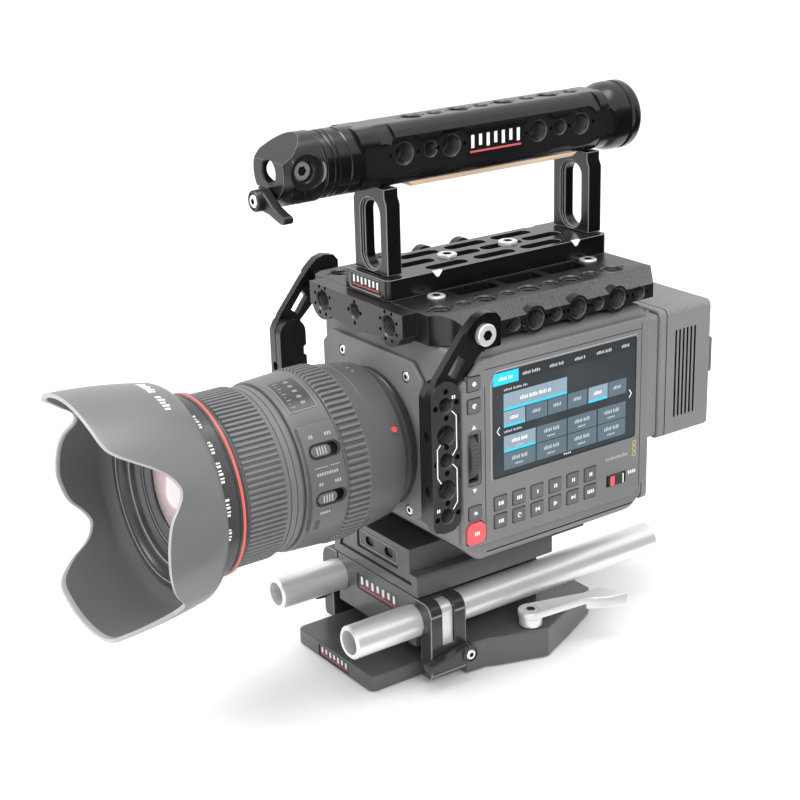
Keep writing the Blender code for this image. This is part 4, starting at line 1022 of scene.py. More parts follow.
def make_panel():
    y0, y1, z0, z1 = -27.2, 77.0, 70.0, 153.0
    outline = [(y0, z0 + 1.6), (y0 + 1.6, z0), (y1 - 8.0, z0), (y1 - 0.5, z0 + 6.0), (y1, z0 + 8.0),
               (y1, z1 - 2.0),
               (y1 - 2.0, z1), (y0 + 12.0, z1), (y0 + 10.0, z1 - 0.6), (y0 + 0.7, z1 - 9.6), (y0, z1 - 12.0)]
    panel = prism("camera_bezel", outline, "X", (56.5, PANEL_FACE), "body")
    bevel(panel, 0.9, 3, 25)
    cut(panel, panel_openings())
    dish = prism("dish", rounded(mid(COLUMN_Y, 7.6), mid(WHEEL_Z, 24.6), 1.6, 5), "X", (58.7, 62.0), "key")
    cut(panel, dish)
    seam = bmesh.new()
    for y in (-15.2, 72.4):
        prism_bm(rect(mid(y, 0.4), (72.0, 141.0 if y < 0 else 151.0)), "X", (58.95, 60.0), seam)
    prism_bm(rect((-14.9, 72.0), mid(148.3, 0.4)), "X", (58.95, 60.0), seam)
    cut(panel, piece("seam", seam, "body_dark"))
    done(panel, "rig", "camera_body", "side_panel", angle=28)
    # A light line along the screen's left and top edges: a painted highlight.
    line = [(-12.0, 98.6), (-12.0, 141.5), (-9.2, 146.3), (69.8, 146.3)]
    rim = place_marks("screen_edge_painted_highlight", "X", PANEL_FACE, [(strip(line, 0.35), 0)], ["grey_ink"], 0.08)
    done(rim, "rig", "camera_body")


def make_screen():
    glass_face = 58.75
    plate = prism("display_glass", rounded((-10.9, 69.3), (98.6, 145.3), 1.1, 4), "X", (57.0, glass_face),
                  "screen")
    done(plate, "rig", "screen", "touch_screen")
    y0, z1 = -10.9, 145.3
    marks = bmesh.new()

    def tile(y, z, index, lift=0.06):
        """A flat area, measured from the screen's upper left corner; a higher lift lies on a lower one."""
        slab_bm(marks, "X", glass_face, rect((y0 + y[0], y0 + y[1]), (z1 - z[1], z1 - z[0])), lift, index)

    def words(start, end, z, height, index=4):
        """Plain strokes in place of a line of text."""
        y, step = start, 0
        while y < end:
            wide = (0.46, 0.6, 0.36, 0.54)[step % 4]
            low = 0.0 if step % 3 else height * 0.22
            tile((y, y + wide), (z - height / 2 + low, z + height / 2), index, 0.15)
            y += wide + (0.42 if (step + 1) % 5 else 0.95)
            step += 1

    def cell(y, z, lit, value, unit=0.0):
        tile(y, z, 0 if lit else 1, 0.06)
        if lit:
            tile(y, (z[1] - 1.0, z[1]), 2, 0.09)
        middle, height = (y[0] + y[1]) / 2, z[1] - z[0]
        words(middle - value / 2, middle + value / 2, (z[0] + z[1]) / 2 - (0.9 if unit else 0.3),
              height * 0.22,
              5 if lit else 4)
        if unit:
            words(middle - unit / 2, middle + unit / 2, z[1] - 1.9, 0.8)

    tile((0.2, 80.0), (0.2, 5.7), 3, 0.03)
    tile((0.3, 14.0), (0.3, 5.7), 2, 0.06)
    words(3.4, 10.6, 3.1, 1.5, 5)
    for start, end in ((16.2, 25.6), (31.0, 38.0), (45.0, 51.0), (57.5, 65.5), (72.0, 77.0)):
        words(start, end, 3.1, 1.35)
    words(6.2, 19.0, 8.3, 0.95)
    cell((6.0, 40.6), (10.0, 17.6), True, 17.0)
    for number, y in enumerate(((6.0, 17.5), (18.2, 29.6), (30.2, 40.6), (41.3, 52.2), (53.0, 64.0),
                                (64.5, 75.0))):
        cell(y, (18.0, 25.0), number in (0, 4), 4.6)
    words(6.2, 16.0, 26.9, 0.95)
    for column, y in enumerate(((6.0, 23.2), (23.9, 40.6), (41.3, 57.8), (58.6, 74.8))):
        cell(y, (28.9, 36.3), column == 0, 8.6, 5.0)
        cell(y, (36.7, 44.3), False, 8.6, 5.0)
    for step in range(4):
        tile((39.2 + step * 1.1, 39.8 + step * 1.1), (44.9, 45.5), 5, 0.06)
    for sign, y in ((1, 3.1), (-1, 77.5)):
        for tip in (-1, 1):
            line = [(y0 + y - sign * 0.7, z1 - 26.0), (y0 + y + sign * 0.7, z1 - 26.0 + tip * 1.9)]
            slab_bm(marks, "X", glass_face, strip(line, 0.4), 0.06, 5)
    done(piece("display_tiles", marks, ["tile_light", "tile", "cyan", "tile_dark", "pale", "white"]), "rig",
         "screen")


def icon(kind, y, z, size=1.5):
    """A plain generic symbol as outlines around (y, z)."""
    s = size
    if kind == "play":
        return [[(y - 0.7 * s, z - 0.8 * s), (y + 0.8 * s, z), (y - 0.7 * s, z + 0.8 * s)]]
    if kind == "next":
        return [[(y - 0.8 * s, z - 0.7 * s), (y + 0.5 * s, z), (y - 0.8 * s, z + 0.7 * s)],
                rect((y + 0.55 * s, y + 0.85 * s), (z - 0.7 * s, z + 0.7 * s))]
    if kind == "back":
        return [[(y + 0.8 * s, z - 0.7 * s), (y - 0.5 * s, z), (y + 0.8 * s, z + 0.7 * s)],
                rect((y - 0.85 * s, y - 0.55 * s), (z - 0.7 * s, z + 0.7 * s))]
    if kind == "ring":
        outer, inner = arc((y, z), 0.8 * s, 0, 300, 14), arc((y, z), 0.5 * s, 0, 300, 14)
        return [outer + inner[::-1]]
    if kind == "dot":
        return [arc((y, z), 0.75 * s, 0, 345, 15)]
    if kind == "up":
        return [[(y - 0.9 * s, z - 0.7 * s), (y + 0.9 * s, z - 0.7 * s), (y, z + 0.8 * s)]]
    if kind == "down":
        return [[(y - 0.9 * s, z + 0.7 * s), (y + 0.9 * s, z + 0.7 * s), (y, z - 0.8 * s)]]
    bars = int(kind)
    pitch = 0.75 * s
    return [rect(mid(y + (index - (bars - 1) / 2) * pitch, pitch * 0.55), (z - 0.62 * s, z + 0.62 * s))
            for index in range(bars)]


def mark_on(body, name, kinds, y, z, level, mats="white", size=1.5, slot="key_plastic"):
    outlines = [(outline, 0) for kind in kinds for outline in icon(kind, y, z, size)]
    done(place_marks(name, "X", level, outlines, [mats], 0.09), body, slot)


def make_key(name, y, z, kinds):
    key = prism("cap_" + name, rounded(mid(y, 6.5), mid(z, 6.0), 0.55, 3), "X", (56.9, 59.75), "key")
    bevel(key, 0.28, 2, 30)
    done(key, name, "key_plastic", name)
    mark_on(name, "mark_" + name, kinds, y, z, 59.75, size=1.35)


def make_controls():
    symbols = (("3", "3", "1", "2", "2", "2"), ("3", "ring", "back", "play", "next", "4"))
    for row, z in enumerate(KEY_Z):
        for column, y in enumerate(KEY_Y):
            make_key(f"key_{row + 1}_{column + 1}", y, z, (symbols[row][column],))
    for name, z, kinds in COLUMN_KEYS:
        make_key(name, COLUMN_Y, z, kinds)
    for kind, z in (("up", 124.6), ("down", 96.2)):
        mark_on("rig", "wheel_mark_" + kind, (kind,), COLUMN_Y, z, PANEL_FACE, size=1.25, slot="camera_body")
    red = prism("record_cap", record_outline(4.8), "X", (56.9, 60.4), "red")
    bevel(red, 0.5, 3)
    done(red, "record_button", "record_red", "record_button")
    mark_on("record_button", "record_mark", ("3",), *RECORD, 60.4, size=1.3, slot="record_red")
    wheel = lathe("knurled_wheel", [(-2.2, 0), (-2.2, 11.3), (-1.7, 11.75), (1.7, 11.75), (2.2, 11.3),
                                    (2.2, 0)],
                  "Y", (49.4, COLUMN_Y, WHEEL_Z), "body_dark", teeth=(44, 0.4, -1.8, 1.8))
    done(wheel, "jog_wheel", "camera_dark", "jog_wheel", angle=25)
    knob = prism("lock_cap", rounded((54.6, 62.6), (78.1, 83.1), 0.4, 3), "X", (56.9, 59.9), "body_dark")
    bevel(knob, 0.25, 2)
    for y, mat in (((54.7, 57.2), "red"), ((61.9, 62.5), "white")):
        merge(knob, prism("face", rect(y, (78.4, 82.8)), "X", (59.6, 60.0), mat))
    grip = prism("grip", rounded((57.4, 61.7), (78.5, 82.7), 0.5, 3), "X", (59.6, 60.2), "label")
    merge(knob, grip)
    done(knob, "lock_switch", "record_red", "lock_switch")
    marks = [(rect((65.8 + step * 1.2, 66.5 + step * 1.2), (81.2, 82.7)), 0) for step in range(4)]
    for step in range(12):
        marks.append((rect((52.4 + step * 1.1, 53.0 + step * 1.1), (90.6, 91.7 if step % 3 else 92.1)), 2))
    for step in range(3):
        outer, inner = (arc((69.2, 90.2 + step * 2.6), r, 0, 350, 15) for r in (1.3, 0.75))
        marks.append((outer + inner[::-1], 1))
    inks = ["white", "gold_ink", "grey_ink"]
    done(place_marks("panel_print", "X", PANEL_FACE, marks, inks, 0.08), "rig", "camera_body")


def make_front():
    cut_size = 7.0
    x0, x1, z0, z1 = -40.0, 35.5, 74.0, 147.0
    outline = [(x0, z0 + cut_size), (x0 + cut_size, z0), (x1 - cut_size, z0), (x1, z0 + cut_size),
               (x1, z1 - cut_size), (x1 - cut_size, z1), (x0 + cut_size, z1), (x0, z1 - cut_size)]
    plate = prism("lens_plate", outline, "Y", (-30.0, -27.8), "body")
    bevel(plate, 0.9, 4, 25)
    cut(plate, rod("bore", "Y", (0, -29.0, LENS_Z), 24.6, 10.0, "hole", 64))
    spots = [(x, z) for x in (-24.1, 24.1) for z in (139.3, 78.0)]
    cut(plate, drills("seats", "Y", [(x, -30.0, z, 2.6, 1.2) for x, z in spots]))
    done(plate, "rig", "camera_body", "front_plate")
    done(screws("front_screws", "Y", [(x, -29.0, z, 2.2, 1.1) for x, z in spots], -1), "rig", "silver")
    ring = lathe("lens_mount", [(-32.9, 30.9), (-32.4, 31.5), (-30.3, 31.5), (-30.3, 24.7), (-32.9, 24.7)],
                 "Y",
                 (0, 0, LENS_Z), "mount", steps=96, closed=True)
    done(ring, "rig", "silver", "mount_ring")


def make_battery():
    plate = prism("battery_back", rounded((-40.0, 55.5), (64.0, 154.0), 3.0, 5), "Y", (77.8, 81.0), "battery")
    step = prism("step", rounded((-36.0, 44.0), (87.0, 146.0), 2.0, 4), "Y", (80.0, 96.7), "battery")
    cut(plate, step, operation="UNION")
    bevel(plate, 0.6, 2, 28)
    done(plate, "rig", "camera_dark", "battery_plate")
    battery = prism("battery_shell", rounded((-37.0, 45.0), (85.5, 147.5), 3.0, 6), "Y", (97.0, 129.8),
                    "battery")
    bevel(battery, 1.1, 3, 28)
    slots = bmesh.new()
    for index in range(6):
        prism_bm(rounded(mid(107.5 + index * 2.4, 1.1), (94.5, 137.0), 0.5, 3), "X", (43.4, 47.0), slots)
    # The vents take the near-black material, painted shade in them.
    cut(battery, piece("vents", slots, "hole"))
    seam = bmesh.new()
    outlines = rounded((-38.0, 46.0), (84.5, 148.5), 4.0, 6), rounded((-36.7, 44.7), (85.8, 147.2), 2.8, 6)
    loops = [[seam.verts.new((u, y, v)) for u, v in outlines[number]]
             for number, y in ((0, 101.2), (0, 101.7), (1, 101.7), (1, 101.2))]
    count = len(outlines[0])
    for near, far in zip(loops, loops[1:] + loops[:1]):
        for i in range(count):
            j = (i + 1) % count
            seam.faces.new((near[i], near[j], far[j], far[i]))
    cut(battery, piece("seam", seam, "hole"))
    done(battery, "battery", "battery_plastic", "battery")
    latch = prism("latch_cap", rounded((33.0, 43.0), (111.0, 128.0), 0.8, 4), "Y", (130.1, 133.1), "key")
    bevel(latch, 0.5, 3)
    for index in range(4):
        cut(latch, block("grip", (34.6, 41.4), (132.7, 134.0), (115.0 + index * 2.6, 116.0 + index * 2.6),
                         "key"))
    done(latch, "battery_latch", "key_plastic", "battery_latch")


def make_camera():
    make_case()
    make_chin()
    make_panel()
    make_screen()
    make_controls()
    make_front()
    make_battery()
    for node, mat in (("sensor_module", "sensor"), ("main_board", "board")):
        for index in range(len(frame["nodes"][node].data.materials)):
            frame["nodes"][node].data.materials[index] = MAT[mat]


# ---------------------------------------------------------------- lens
LENS = (0.0, 0.0, LENS_Z)


def polar(angle, radius):
    """The (x, z) at an angle in degrees and a radius from the lens axis."""
    a = math.radians(angle)
    return radius * math.cos(a), LENS_Z + radius * math.sin(a)


def wrapped_bm(bm, boxes, radius, thick=0.1):
    """Thin marks round a turned surface: each (y0, y1, angle0, angle1, index). radius is a function of y."""
    for y0, y1, a0, a1, index in boxes:
        steps = max(1, int(abs(a1 - a0) / 3.0))
        rows = []
        for step in range(steps + 1):
            angle = a0 + (a1 - a0) * step / steps
            row = []
            for y, lift in ((y0, thick), (y1, thick), (y1, -thick), (y0, -thick)):
                x, z = polar(angle, radius(y) + lift)
                row.append(bm.verts.new((x, y, z)))
            rows.append(row)
        for first, second in zip(rows, rows[1:]):
            for i in range(4):
                j = (i + 1) % 4
                bm.faces.new((first[i], first[j], second[j], second[i])).material_index = index
        bm.faces.new(rows[0]).material_index = index
        bm.faces.new(rows[-1][::-1]).material_index = index
    return bm


def wrapped(name, boxes, radius, mats, body, slot, thick=0.1):
    """Wrapped marks as a finished piece."""
    return done(piece(name, wrapped_bm(bmesh.new(), boxes, radius, thick), mats), body, slot)


def make_rear_barrel():
    barrel = lathe("rear_barrel", [
        (-116.5, 33.8), (-57.3, 33.8), (-57.3, 37.2), (-57.0, 37.4), (-52.6, 36.9), (-52.4, 36.5),
        (-51.9, 36.5),
        (-51.7, 36.8), (-47.0, 36.3), (-38.8, 35.0), (-38.3, 34.7), (-37.6, 33.6), (-35.5, 31.9),
        (-33.3, 31.5),
        (-33.3, 19.0), (-45.0, 19.0), (-45.0, 31.8), (-116.5, 31.8)], "Y", LENS, "lens", steps=128,
        closed=True)
    done(barrel, "rig", "lens_black", "lens_barrel")
    dot = rod("mount_dot", "Y", (0, 0, 0), 1.3, 0.6, "red", 24)
    normal = Vector((math.cos(math.radians(25.5)), 0.0, math.sin(math.radians(25.5))))
    dot.data.transform(Matrix.Rotation(math.radians(90), 4, "Z"))
    dot.data.transform(normal.to_track_quat("X", "Y").to_matrix().to_4x4())
    x, z = polar(25.5, 36.2)
    dot.data.transform(Matrix.Translation(Vector((x, -42.6, z)) * MM))
    done(dot, "rig", "lens_black")
    boxes = [(-51.0, -45.0, a, a + 1.2, 0) for a in (78.0, 84.0, 94.0)]
    boxes += [(-56.4, -53.6, 60.0 + step * 3.4, 61.4 + step * 3.4, 0) for step in range(4)]
    wrapped("barrel_print", boxes, lambda y: 36.45 + (-50.0 - y) * 0.1, ["grey_ink"], "rig", "lens_black")


def make_rings():
    zoom = lathe("zoom_grip", [
        (-70.0, 34.2), (-70.0, 37.5), (-69.6, 37.6), (-69.0, 37.1), (-58.8, 37.1), (-58.1, 37.6),
        (-57.6, 37.5),
        (-57.6, 34.2)], "Y", LENS, "rubber", closed=True, teeth=(84, 1.45, -69.1, -58.6))
    done(zoom, "zoom_ring", "lens_rubber", "zoom_ring", angle=25)
    focus = lathe("focus_grip", [
        (-117.0, 34.2), (-117.0, 36.4), (-116.2, 36.5), (-115.8, 36.1), (-98.8, 36.1), (-98.2, 36.5),
        (-97.6, 36.5),
        (-97.3, 35.9), (-96.4, 36.0), (-96.3, 35.5), (-95.9, 35.5), (-95.8, 36.0), (-93.4, 36.0),
        (-93.3, 35.5),
        (-92.9, 35.5), (-92.8, 36.0), (-90.6, 36.0), (-90.2, 35.7), (-89.5, 35.4), (-89.5, 34.2)], "Y", LENS,
        "rubber", closed=True, teeth=(96, 1.15, -116.0, -98.7))
    done(focus, "focus_ring", "lens_rubber", "focus_ring", angle=25)


SWITCH_ANGLES = (("focus_switch", 25.0), ("stabiliser_switch", -4.0))


def spun(obj, angle):
    """Turns a shape made on the +X side of the lens round its axis, by degrees towards +Z."""
    centre = Matrix.Translation(Vector(LENS) * MM)
    obj.data.transform(centre @ Matrix.Rotation(math.radians(-angle), 4, "Y") @ centre.inverted())
    return obj


def make_switch_barrel():
    barrel = lathe("switch_housing", [
        (-89.2, 34.2), (-89.2, 36.6), (-88.6, 37.0), (-88.0, 37.1), (-71.4, 38.0), (-70.8, 37.9),
        (-70.3, 37.4),
        (-70.3, 34.2)], "Y", LENS, "lens", steps=128, closed=True)
    sector = arc((0, LENS_Z), 39.7, -28, 42, 24) + arc((0, LENS_Z), 35.0, 42, -28, 24)
    panel = prism("panel", sector, "Y", (-88.4, -71.3), "lens")
    bevel(panel, 0.5, 2, 40)
    cut(barrel, panel, operation="UNION")
    for name, angle in SWITCH_ANGLES:
        well = prism("well", rounded((-86.9, -71.9), mid(LENS_Z, 6.6), 3.1, 8), "X", (39.0, 60.0), "label")
        cut(barrel, spun(well, angle))
        slot = prism("slot", rounded((-86.0, -72.8), mid(LENS_Z, 5.2), 2.5, 8), "X", (37.2, 60.0), "hole")
        cut(barrel, spun(slot, angle))
    done(barrel, "rig", "lens_black", "switch_barrel")
    boxes = [(-86.0, -79.6, 15.2, 15.6, 0), (-78.4, -73.6, 15.2, 15.6, 0)]
    for low in (33.2, 4.6):
        for y, count in ((-84.8, 2), (-77.2, 3)):
            for step in range(count):
                boxes.append((y + step * 1.1, y + step * 1.1 + 0.65, low, low + 2.0, 0))
    boxes += [(-85.2 + step * 1.15, -84.5 + step * 1.15, 10.6, 12.4, 0) for step in range(9)]
    boxes += [(-84.4 + step * 1.0, -83.8 + step * 1.0, -14.0, -12.4, 0) for step in range(5)]
    wrapped("switch_print", boxes, lambda y: 39.7, ["grey_ink"], "rig", "lens_black", 0.08)
    for name, angle in SWITCH_ANGLES:
        knob = prism("knob_" + name, rounded((-85.7, -76.4), mid(LENS_Z, 4.6), 2.2, 6), "X", (37.5, 39.7),
                     "lens")
        bevel(knob, 0.35, 2)
        ridges = bmesh.new()
        for step in range(4):
            prism_bm(rect(mid(-83.0 + step * 1.3, 0.55), mid(LENS_Z, 3.2)), "X", (39.5, 40.0), ridges)
        merge(knob, piece("ridges", ridges, "grey_ink"))
        done(spun(knob, angle), name, "lens_black", name)

    def skin(y):
        return 37.1 + (y + 88.0) * 0.054

    wrapped("barrel_badge", [(-86.6, -84.2, -25.0, -18.0, 0)], lambda y: 39.7, ["label"], "rig", "lens_black")
    wrapped("scale_window", [(-86.4, -73.8, 54.0, 84.0, 0)], skin, ["label"], "rig", "lens_black", 0.22)
    edges = [(-86.7, -86.4, 53.4, 84.4, 0), (-73.8, -73.5, 53.4, 84.4, 0), (-86.4, -73.8, 53.4, 54.0, 0)]
    edges += [(-84.6, -83.8 if step % 2 else -82.6, 57.0 + step * 3.0, 57.7 + step * 3.0,
               0) for step in range(9)]
    edges += [(-79.4, -77.4, 58.0 + step * 5.4, 60.0 + step * 5.4, 0) for step in range(5)]
    wrapped("scale_marks", edges, skin, ["faint"], "rig", "lens_black", 0.3)


def make_front_barrel():
    barrel = lathe("extending_barrel", [
        (-138.0, 35.2), (-138.0, 38.4), (-137.6, 38.9), (-137.2, 39.2), (-131.0, 39.2), (-130.6, 38.9),
        (-122.2, 38.9), (-121.8, 38.5), (-121.4, 38.5), (-121.2, 38.9), (-117.9, 38.9), (-117.5, 38.4),
        (-117.5, 31.4), (-75.0, 31.4), (-75.0, 29.6), (-124.0, 29.6), (-126.0, 22.4), (-129.0, 22.4),
        (-129.6, 23.0), (-130.4, 26.4), (-131.6, 26.8), (-132.6, 30.4), (-134.2, 31.0), (-134.8, 33.6),
        (-136.6, 34.2),
        (-137.2, 34.9)], "Y", LENS, "label", steps=128, closed=True)
    red = lathe("ring_red", [(-120.2, 38.6), (-120.2, 39.0), (-120.0, 39.1), (-119.3, 39.1), (-119.1, 39.0),
                             (-119.1, 38.6)], "Y", LENS, "ring_red", steps=128, closed=True)
    merge(barrel, red)
    done(barrel, "front_group", "lens_black", "front_barrel")
    boxes = []
    for low, count in ((-14.0, 4), (2.0, 5), (22.0, 6), (40.0, 4), (58.0, 5)):
        for step in range(count):
            tall = (-128.2, -125.6) if step % 3 else (-127.8, -125.9)
            boxes.append((*tall, low + step * 2.3, low + step * 2.3 + (0.9 if step % 2 else 1.4), 0))
    wrapped("barrel_ticks", boxes, lambda y: 38.9, ["white"], "front_group", "lens_black", 0.07)
    front = []
    for step in range(13):
        radius = 22.1 * step / 12
        front.append((-128.4 - 4.6 * (1 - (radius / 22.1) ** 2), radius))
    # The front element is painted with the light pinkish reflection colour.
    lens = lathe("front_element", front + [(-126.2, 22.1), (-126.2, 0)], "Y", LENS, "glass", steps=96)
    done(lens, "front_group", "lens_glass", "front_glass")
    rings = bmesh.new()
    for y, radius in ((-138.0, 36.4), (-134.5, 31.4), (-130.9, 26.5)):
        lathe_bm([(y - 0.15, radius), (y - 0.15, radius + 0.4), (y + 0.3, radius + 0.4), (y + 0.3, radius)],
                 "Y", LENS,
                 96, closed=True, bm=rings)
    done(piece("front_rings", rings, "grey_ink"), "front_group", "lens_black")


# The hood's front edge, as (angle round the axis, y): long petals above and below, short ones at the sides.
HOOD_EDGE = [
    (-180, -159.9), (-173, -158.9), (-165, -156.5), (-158, -151.7), (-152, -149.6), (-146, -151.8),
    (-142, -155.2),
    (-137, -162.0), (-130, -168.7), (-125, -171.2), (-119, -171.8), (-90, -172.0), (-66, -172.4),
    (-60, -171.4),
    (-55, -165.8), (-50, -157.0), (-46, -150.6), (-41, -148.2), (-36, -149.8), (-30, -153.2), (-23, -156.2),
    (-12, -158.6), (0, -158.8), (11, -156.4), (18, -151.9), (22, -149.7), (26, -149.4), (32, -152.4),
    (37, -157.6),
    (42, -164.4), (47, -170.4), (52, -173.4), (63, -174.6), (83, -175.0), (100, -174.8), (117, -173.6),
    (123, -171.6), (130, -166.6), (137, -160.6), (142, -155.6), (147, -153.0), (152, -153.2), (158, -156.6),
    (166, -158.8), (180, -159.9)]
HOOD_SHOULDER, HOOD_STEP = -132.5, -140.4


def hood_edge(angle):
    """A smooth curve through the edge's points."""
    angle = (angle + 180.0) % 360.0 - 180.0
    count = len(HOOD_EDGE) - 1
    for index in range(count):
        (a0, y0), (a1, y1) = HOOD_EDGE[index], HOOD_EDGE[index + 1]
        if angle <= a1:
            before = HOOD_EDGE[index - 1] if index else (HOOD_EDGE[-2][0] - 360, HOOD_EDGE[-2][1])
            after = HOOD_EDGE[index + 2] if index + 2 <= count else (HOOD_EDGE[1][0] + 360, HOOD_EDGE[1][1])
            m0 = (y1 - before[1]) / (a1 - before[0]) * (a1 - a0)
            m1 = (after[1] - y0) / (after[0] - a0) * (a1 - a0)
            t = (angle - a0) / (a1 - a0)
            return ((2 * t ** 3 - 3 * t ** 2 + 1) * y0 + (t ** 3 - 2 * t ** 2 + t) * m0
                    + (-2 * t ** 3 + 3 * t ** 2) * y1 + (t ** 3 - t ** 2) * m1)
    return HOOD_EDGE[-1][1]


def hood_radius(y):
    """The middle of the hood's wall."""
    forward = max(0.0, min(1.0, (HOOD_SHOULDER - y) / 44.5))
    return 45.3 + 4.9 * (1.0 - (1.0 - forward) ** 1.9)


def make_hood():
    """A petal hood: outer and inner skins with a rounded lip between them."""
    bm = bmesh.new()
    steps, half = 360, 0.9
    rows_out, rows_in = [], []
    for k in range(steps):
        angle = 360.0 * k / steps
        edge = hood_edge(angle)
        outer, inner = [], []

        def vert(radius, y):
            x, z = polar(angle, radius)
            return bm.verts.new((x, y, z))

        outer += [vert(41.2, -129.5), vert(42.8, -129.5), vert(43.9, -129.8), vert(44.9, -130.5),
                  vert(45.6, -131.5)]
        inner += [vert(40.8, -129.9), vert(40.8, -137.3), vert(41.4, -137.9), vert(43.0, -138.0),
                  vert(44.6, -138.8)]
        for share in (0.02, 0.12, 0.25, 0.4, 0.55, 0.7, 0.85, 0.95):
            for row, way, start in ((outer, 1, HOOD_SHOULDER), (inner, -1, HOOD_STEP)):
                y = start + (edge + 0.7 - start) * share
                row.append(vert(hood_radius(y) + way * half, y))
        tip = hood_radius(edge)
        outer += [vert(tip + half, edge + 0.45), vert(tip + 0.62, edge + 0.1), vert(tip, edge)]
        inner += [vert(tip - half, edge + 0.45), vert(tip - 0.62, edge + 0.1)]
        rows_out.append(outer)
        rows_in.append(inner)
    for k in range(steps):
        j = (k + 1) % steps
        loop_a = rows_out[k] + rows_in[k][::-1]
        loop_b = rows_out[j] + rows_in[j][::-1]
        count = len(loop_a)
        turn = len(rows_out[k])
        for i in range(count):
            n = (i + 1) % count
            face = bm.faces.new((loop_a[i], loop_a[n], loop_b[n], loop_b[i]))
            # The lip faces take the light lip material, a painted highlight; the outer skin is plain hood and
            # the inner skin flock.
            face.material_index = 2 if turn - 3 <= i <= turn + 1 else 1 if turn <= i < count - 1 else 0
    hood = piece("petal_hood", bm, ["hood", "hood_in", "lip"])
    done(hood, "hood", "hood_plastic", "hood", angle=45)
    boxes = []
    for low, count, y0, y1 in ((66.0, 5, -140.6, -137.4), (82.0, 6, -141.0, -137.0)):
        for step in range(count):
            boxes.append((y0, y1 if step % 2 else y1 - 0.8, low + step * 2.5, low + step * 2.5 + 1.3, 0))
    wrapped("hood_print", boxes, lambda y: hood_radius(y) + half, ["white"], "hood", "hood_plastic", 0.06)
    wrapped("hood_dot", [(-135.4, -134.2, 97.0, 98.8, 0)], lambda y: hood_radius(y) + half, ["red"], "hood",
            "hood_plastic", 0.1)


def make_lens():
    make_rear_barrel()
    make_rings()
    make_switch_barrel()
    make_front_barrel()
    make_hood()


# ---------------------------------------------------------------- baseplate
ROD_X, ROD_Z = 30.0, 28.1


def make_tripod_plate():
    plate = prism("base_slide", rounded((-30.5, 30.5), (-57.0, 55.0), 3.2, 8), "Z", (0.0, 7.6), "grey")
    bevel(plate, 0.7, 3, 40)
    cut(plate, drills("holes", "Z", [(0.0, -28.0, 3.8, 4.4, 6.0), (0.0, 26.0, 3.8, 3.2, 6.0)], "hole"))
    cut(plate, prism("seat", rounded((-12.5, 12.5), (1.0, 6.6), 0.8, 3), "Y", (-58.0, -56.6), "label"))
    ink = place_marks("seat_ink", "Y", -56.75, badge_marks((-11.2, 11.2), (1.4, 6.2)), ["white", "red_ink"],
                      0.12)
    done(merge(plate, ink), "tripod_plate", "grey_anodised", "tripod_plate")


def make_clamp_block():
    right = [(42.6, -14.0), (43.4, -2.6), (45.4, 1.5), (53.0, 25.0), (43.0, 47.0), (33.0, 67.0)]
    left = [(-33.0, 67.0), (-43.0, 47.0), (-43.4, -2.6), (-42.6, -14.0)]
    clamp = prism("quick_release", right + left, "Z", (0.3, 14.5), "grey")
    bevel(clamp, 0.8, 3, 15)
    cut(clamp, block("groove", (-30.8, 30.8), (-50.0, 100.0), (-10.0, 7.9), "label"))
    cut(clamp, drills("pivot", "Z", [(45.0, 21.0, 14.5, 4.4, 9.0)], "label", 40))
    cut(clamp, drills("screws", "Z", [(-37.0, 6.0, 14.5, 2.6, 2.4), (-37.0, 38.0, 14.5, 2.6, 2.4),
                                      (0.0, 58.0, 14.5, 3.2, 3.0)], "hole", 24))
    done(clamp, "rig", "grey_anodised", "clamp_block")


def make_lock_lever():
    px, py = 45.0, 21.0
    outline = arc((px, py), 5.8, 165, 352, 16) + [(52.6, 46.0), (54.5, 50.5), (49.0, 53.0), (47.2, 49.5)]
    lever = prism("lock_arm", outline, "Z", (19.3, 22.5), "silver")
    bevel(lever, 0.55, 3, 30)
    shaft = lathe("shaft", [(7.4, 0), (7.4, 4.0), (15.2, 4.0), (15.2, 5.2), (18.6, 5.4), (19.6, 5.2),
                            (19.6, 0)],
                  "Z", (px, py, 0), "silver", steps=48)
    paddle_outline = [(52.8, 47.6), (58.2, 56.6), (60.5, 66.3), (47.7, 59.6), (47.2, 50.2)]
    paddle = prism("paddle", paddle_outline, "Z", (16.8, 22.4), "silver")
    bevel(paddle, 0.6, 3, 25)
    cut(lever, shaft, paddle, operation="UNION")
    ring = lathe_bm([(22.0, 3.4), (22.0, 4.0), (23.0, 4.0), (23.0, 3.4)], "Z", (px, py, 0), 48, closed=True)
    cut(lever, piece("ring", ring, "silver"))
    cut(lever, lathe("cup", [(21.4, 0), (21.4, 2.0), (23.0, 2.4), (23.0, 0)], "Z", (px, py, 0), "label",
                     steps=6))
    groove = strip([(46.8, 30.5), (49.6, 43.5)], 0.8)
    cut(lever, prism("groove", groove, "Z", (22.1, 23.0), "silver"))
    done(lever, "lock_lever", "silver", "lock_lever")


def make_rod(word, side):
    tube = lathe("steel_rod_" + word, [
        (-68.0, 6.3), (-67.8, 6.7), (-67.0, 7.5), (-40.0, 7.5), (40.0, 7.5), (105.7, 7.5),
        (106.5, 6.7), (106.5, 5.5), (-67.6, 5.5)], "Y", (side * ROD_X, 0, ROD_Z), "silver", steps=72,
        closed=True)
    done(tube, "rod_" + word, "silver", "rod_" + word)


def rod_bores(*sides):
    """A cutter for the bores round the rods."""
    bm = bmesh.new()
    for side in sides:
        lathe_bm([(-150.0, 0), (-150.0, 7.8), (150.0, 7.8), (150.0, 0)], "Y", (side * ROD_X, 0, ROD_Z), 56,
                 bm=bm)
    return piece("bores", bm, "label")


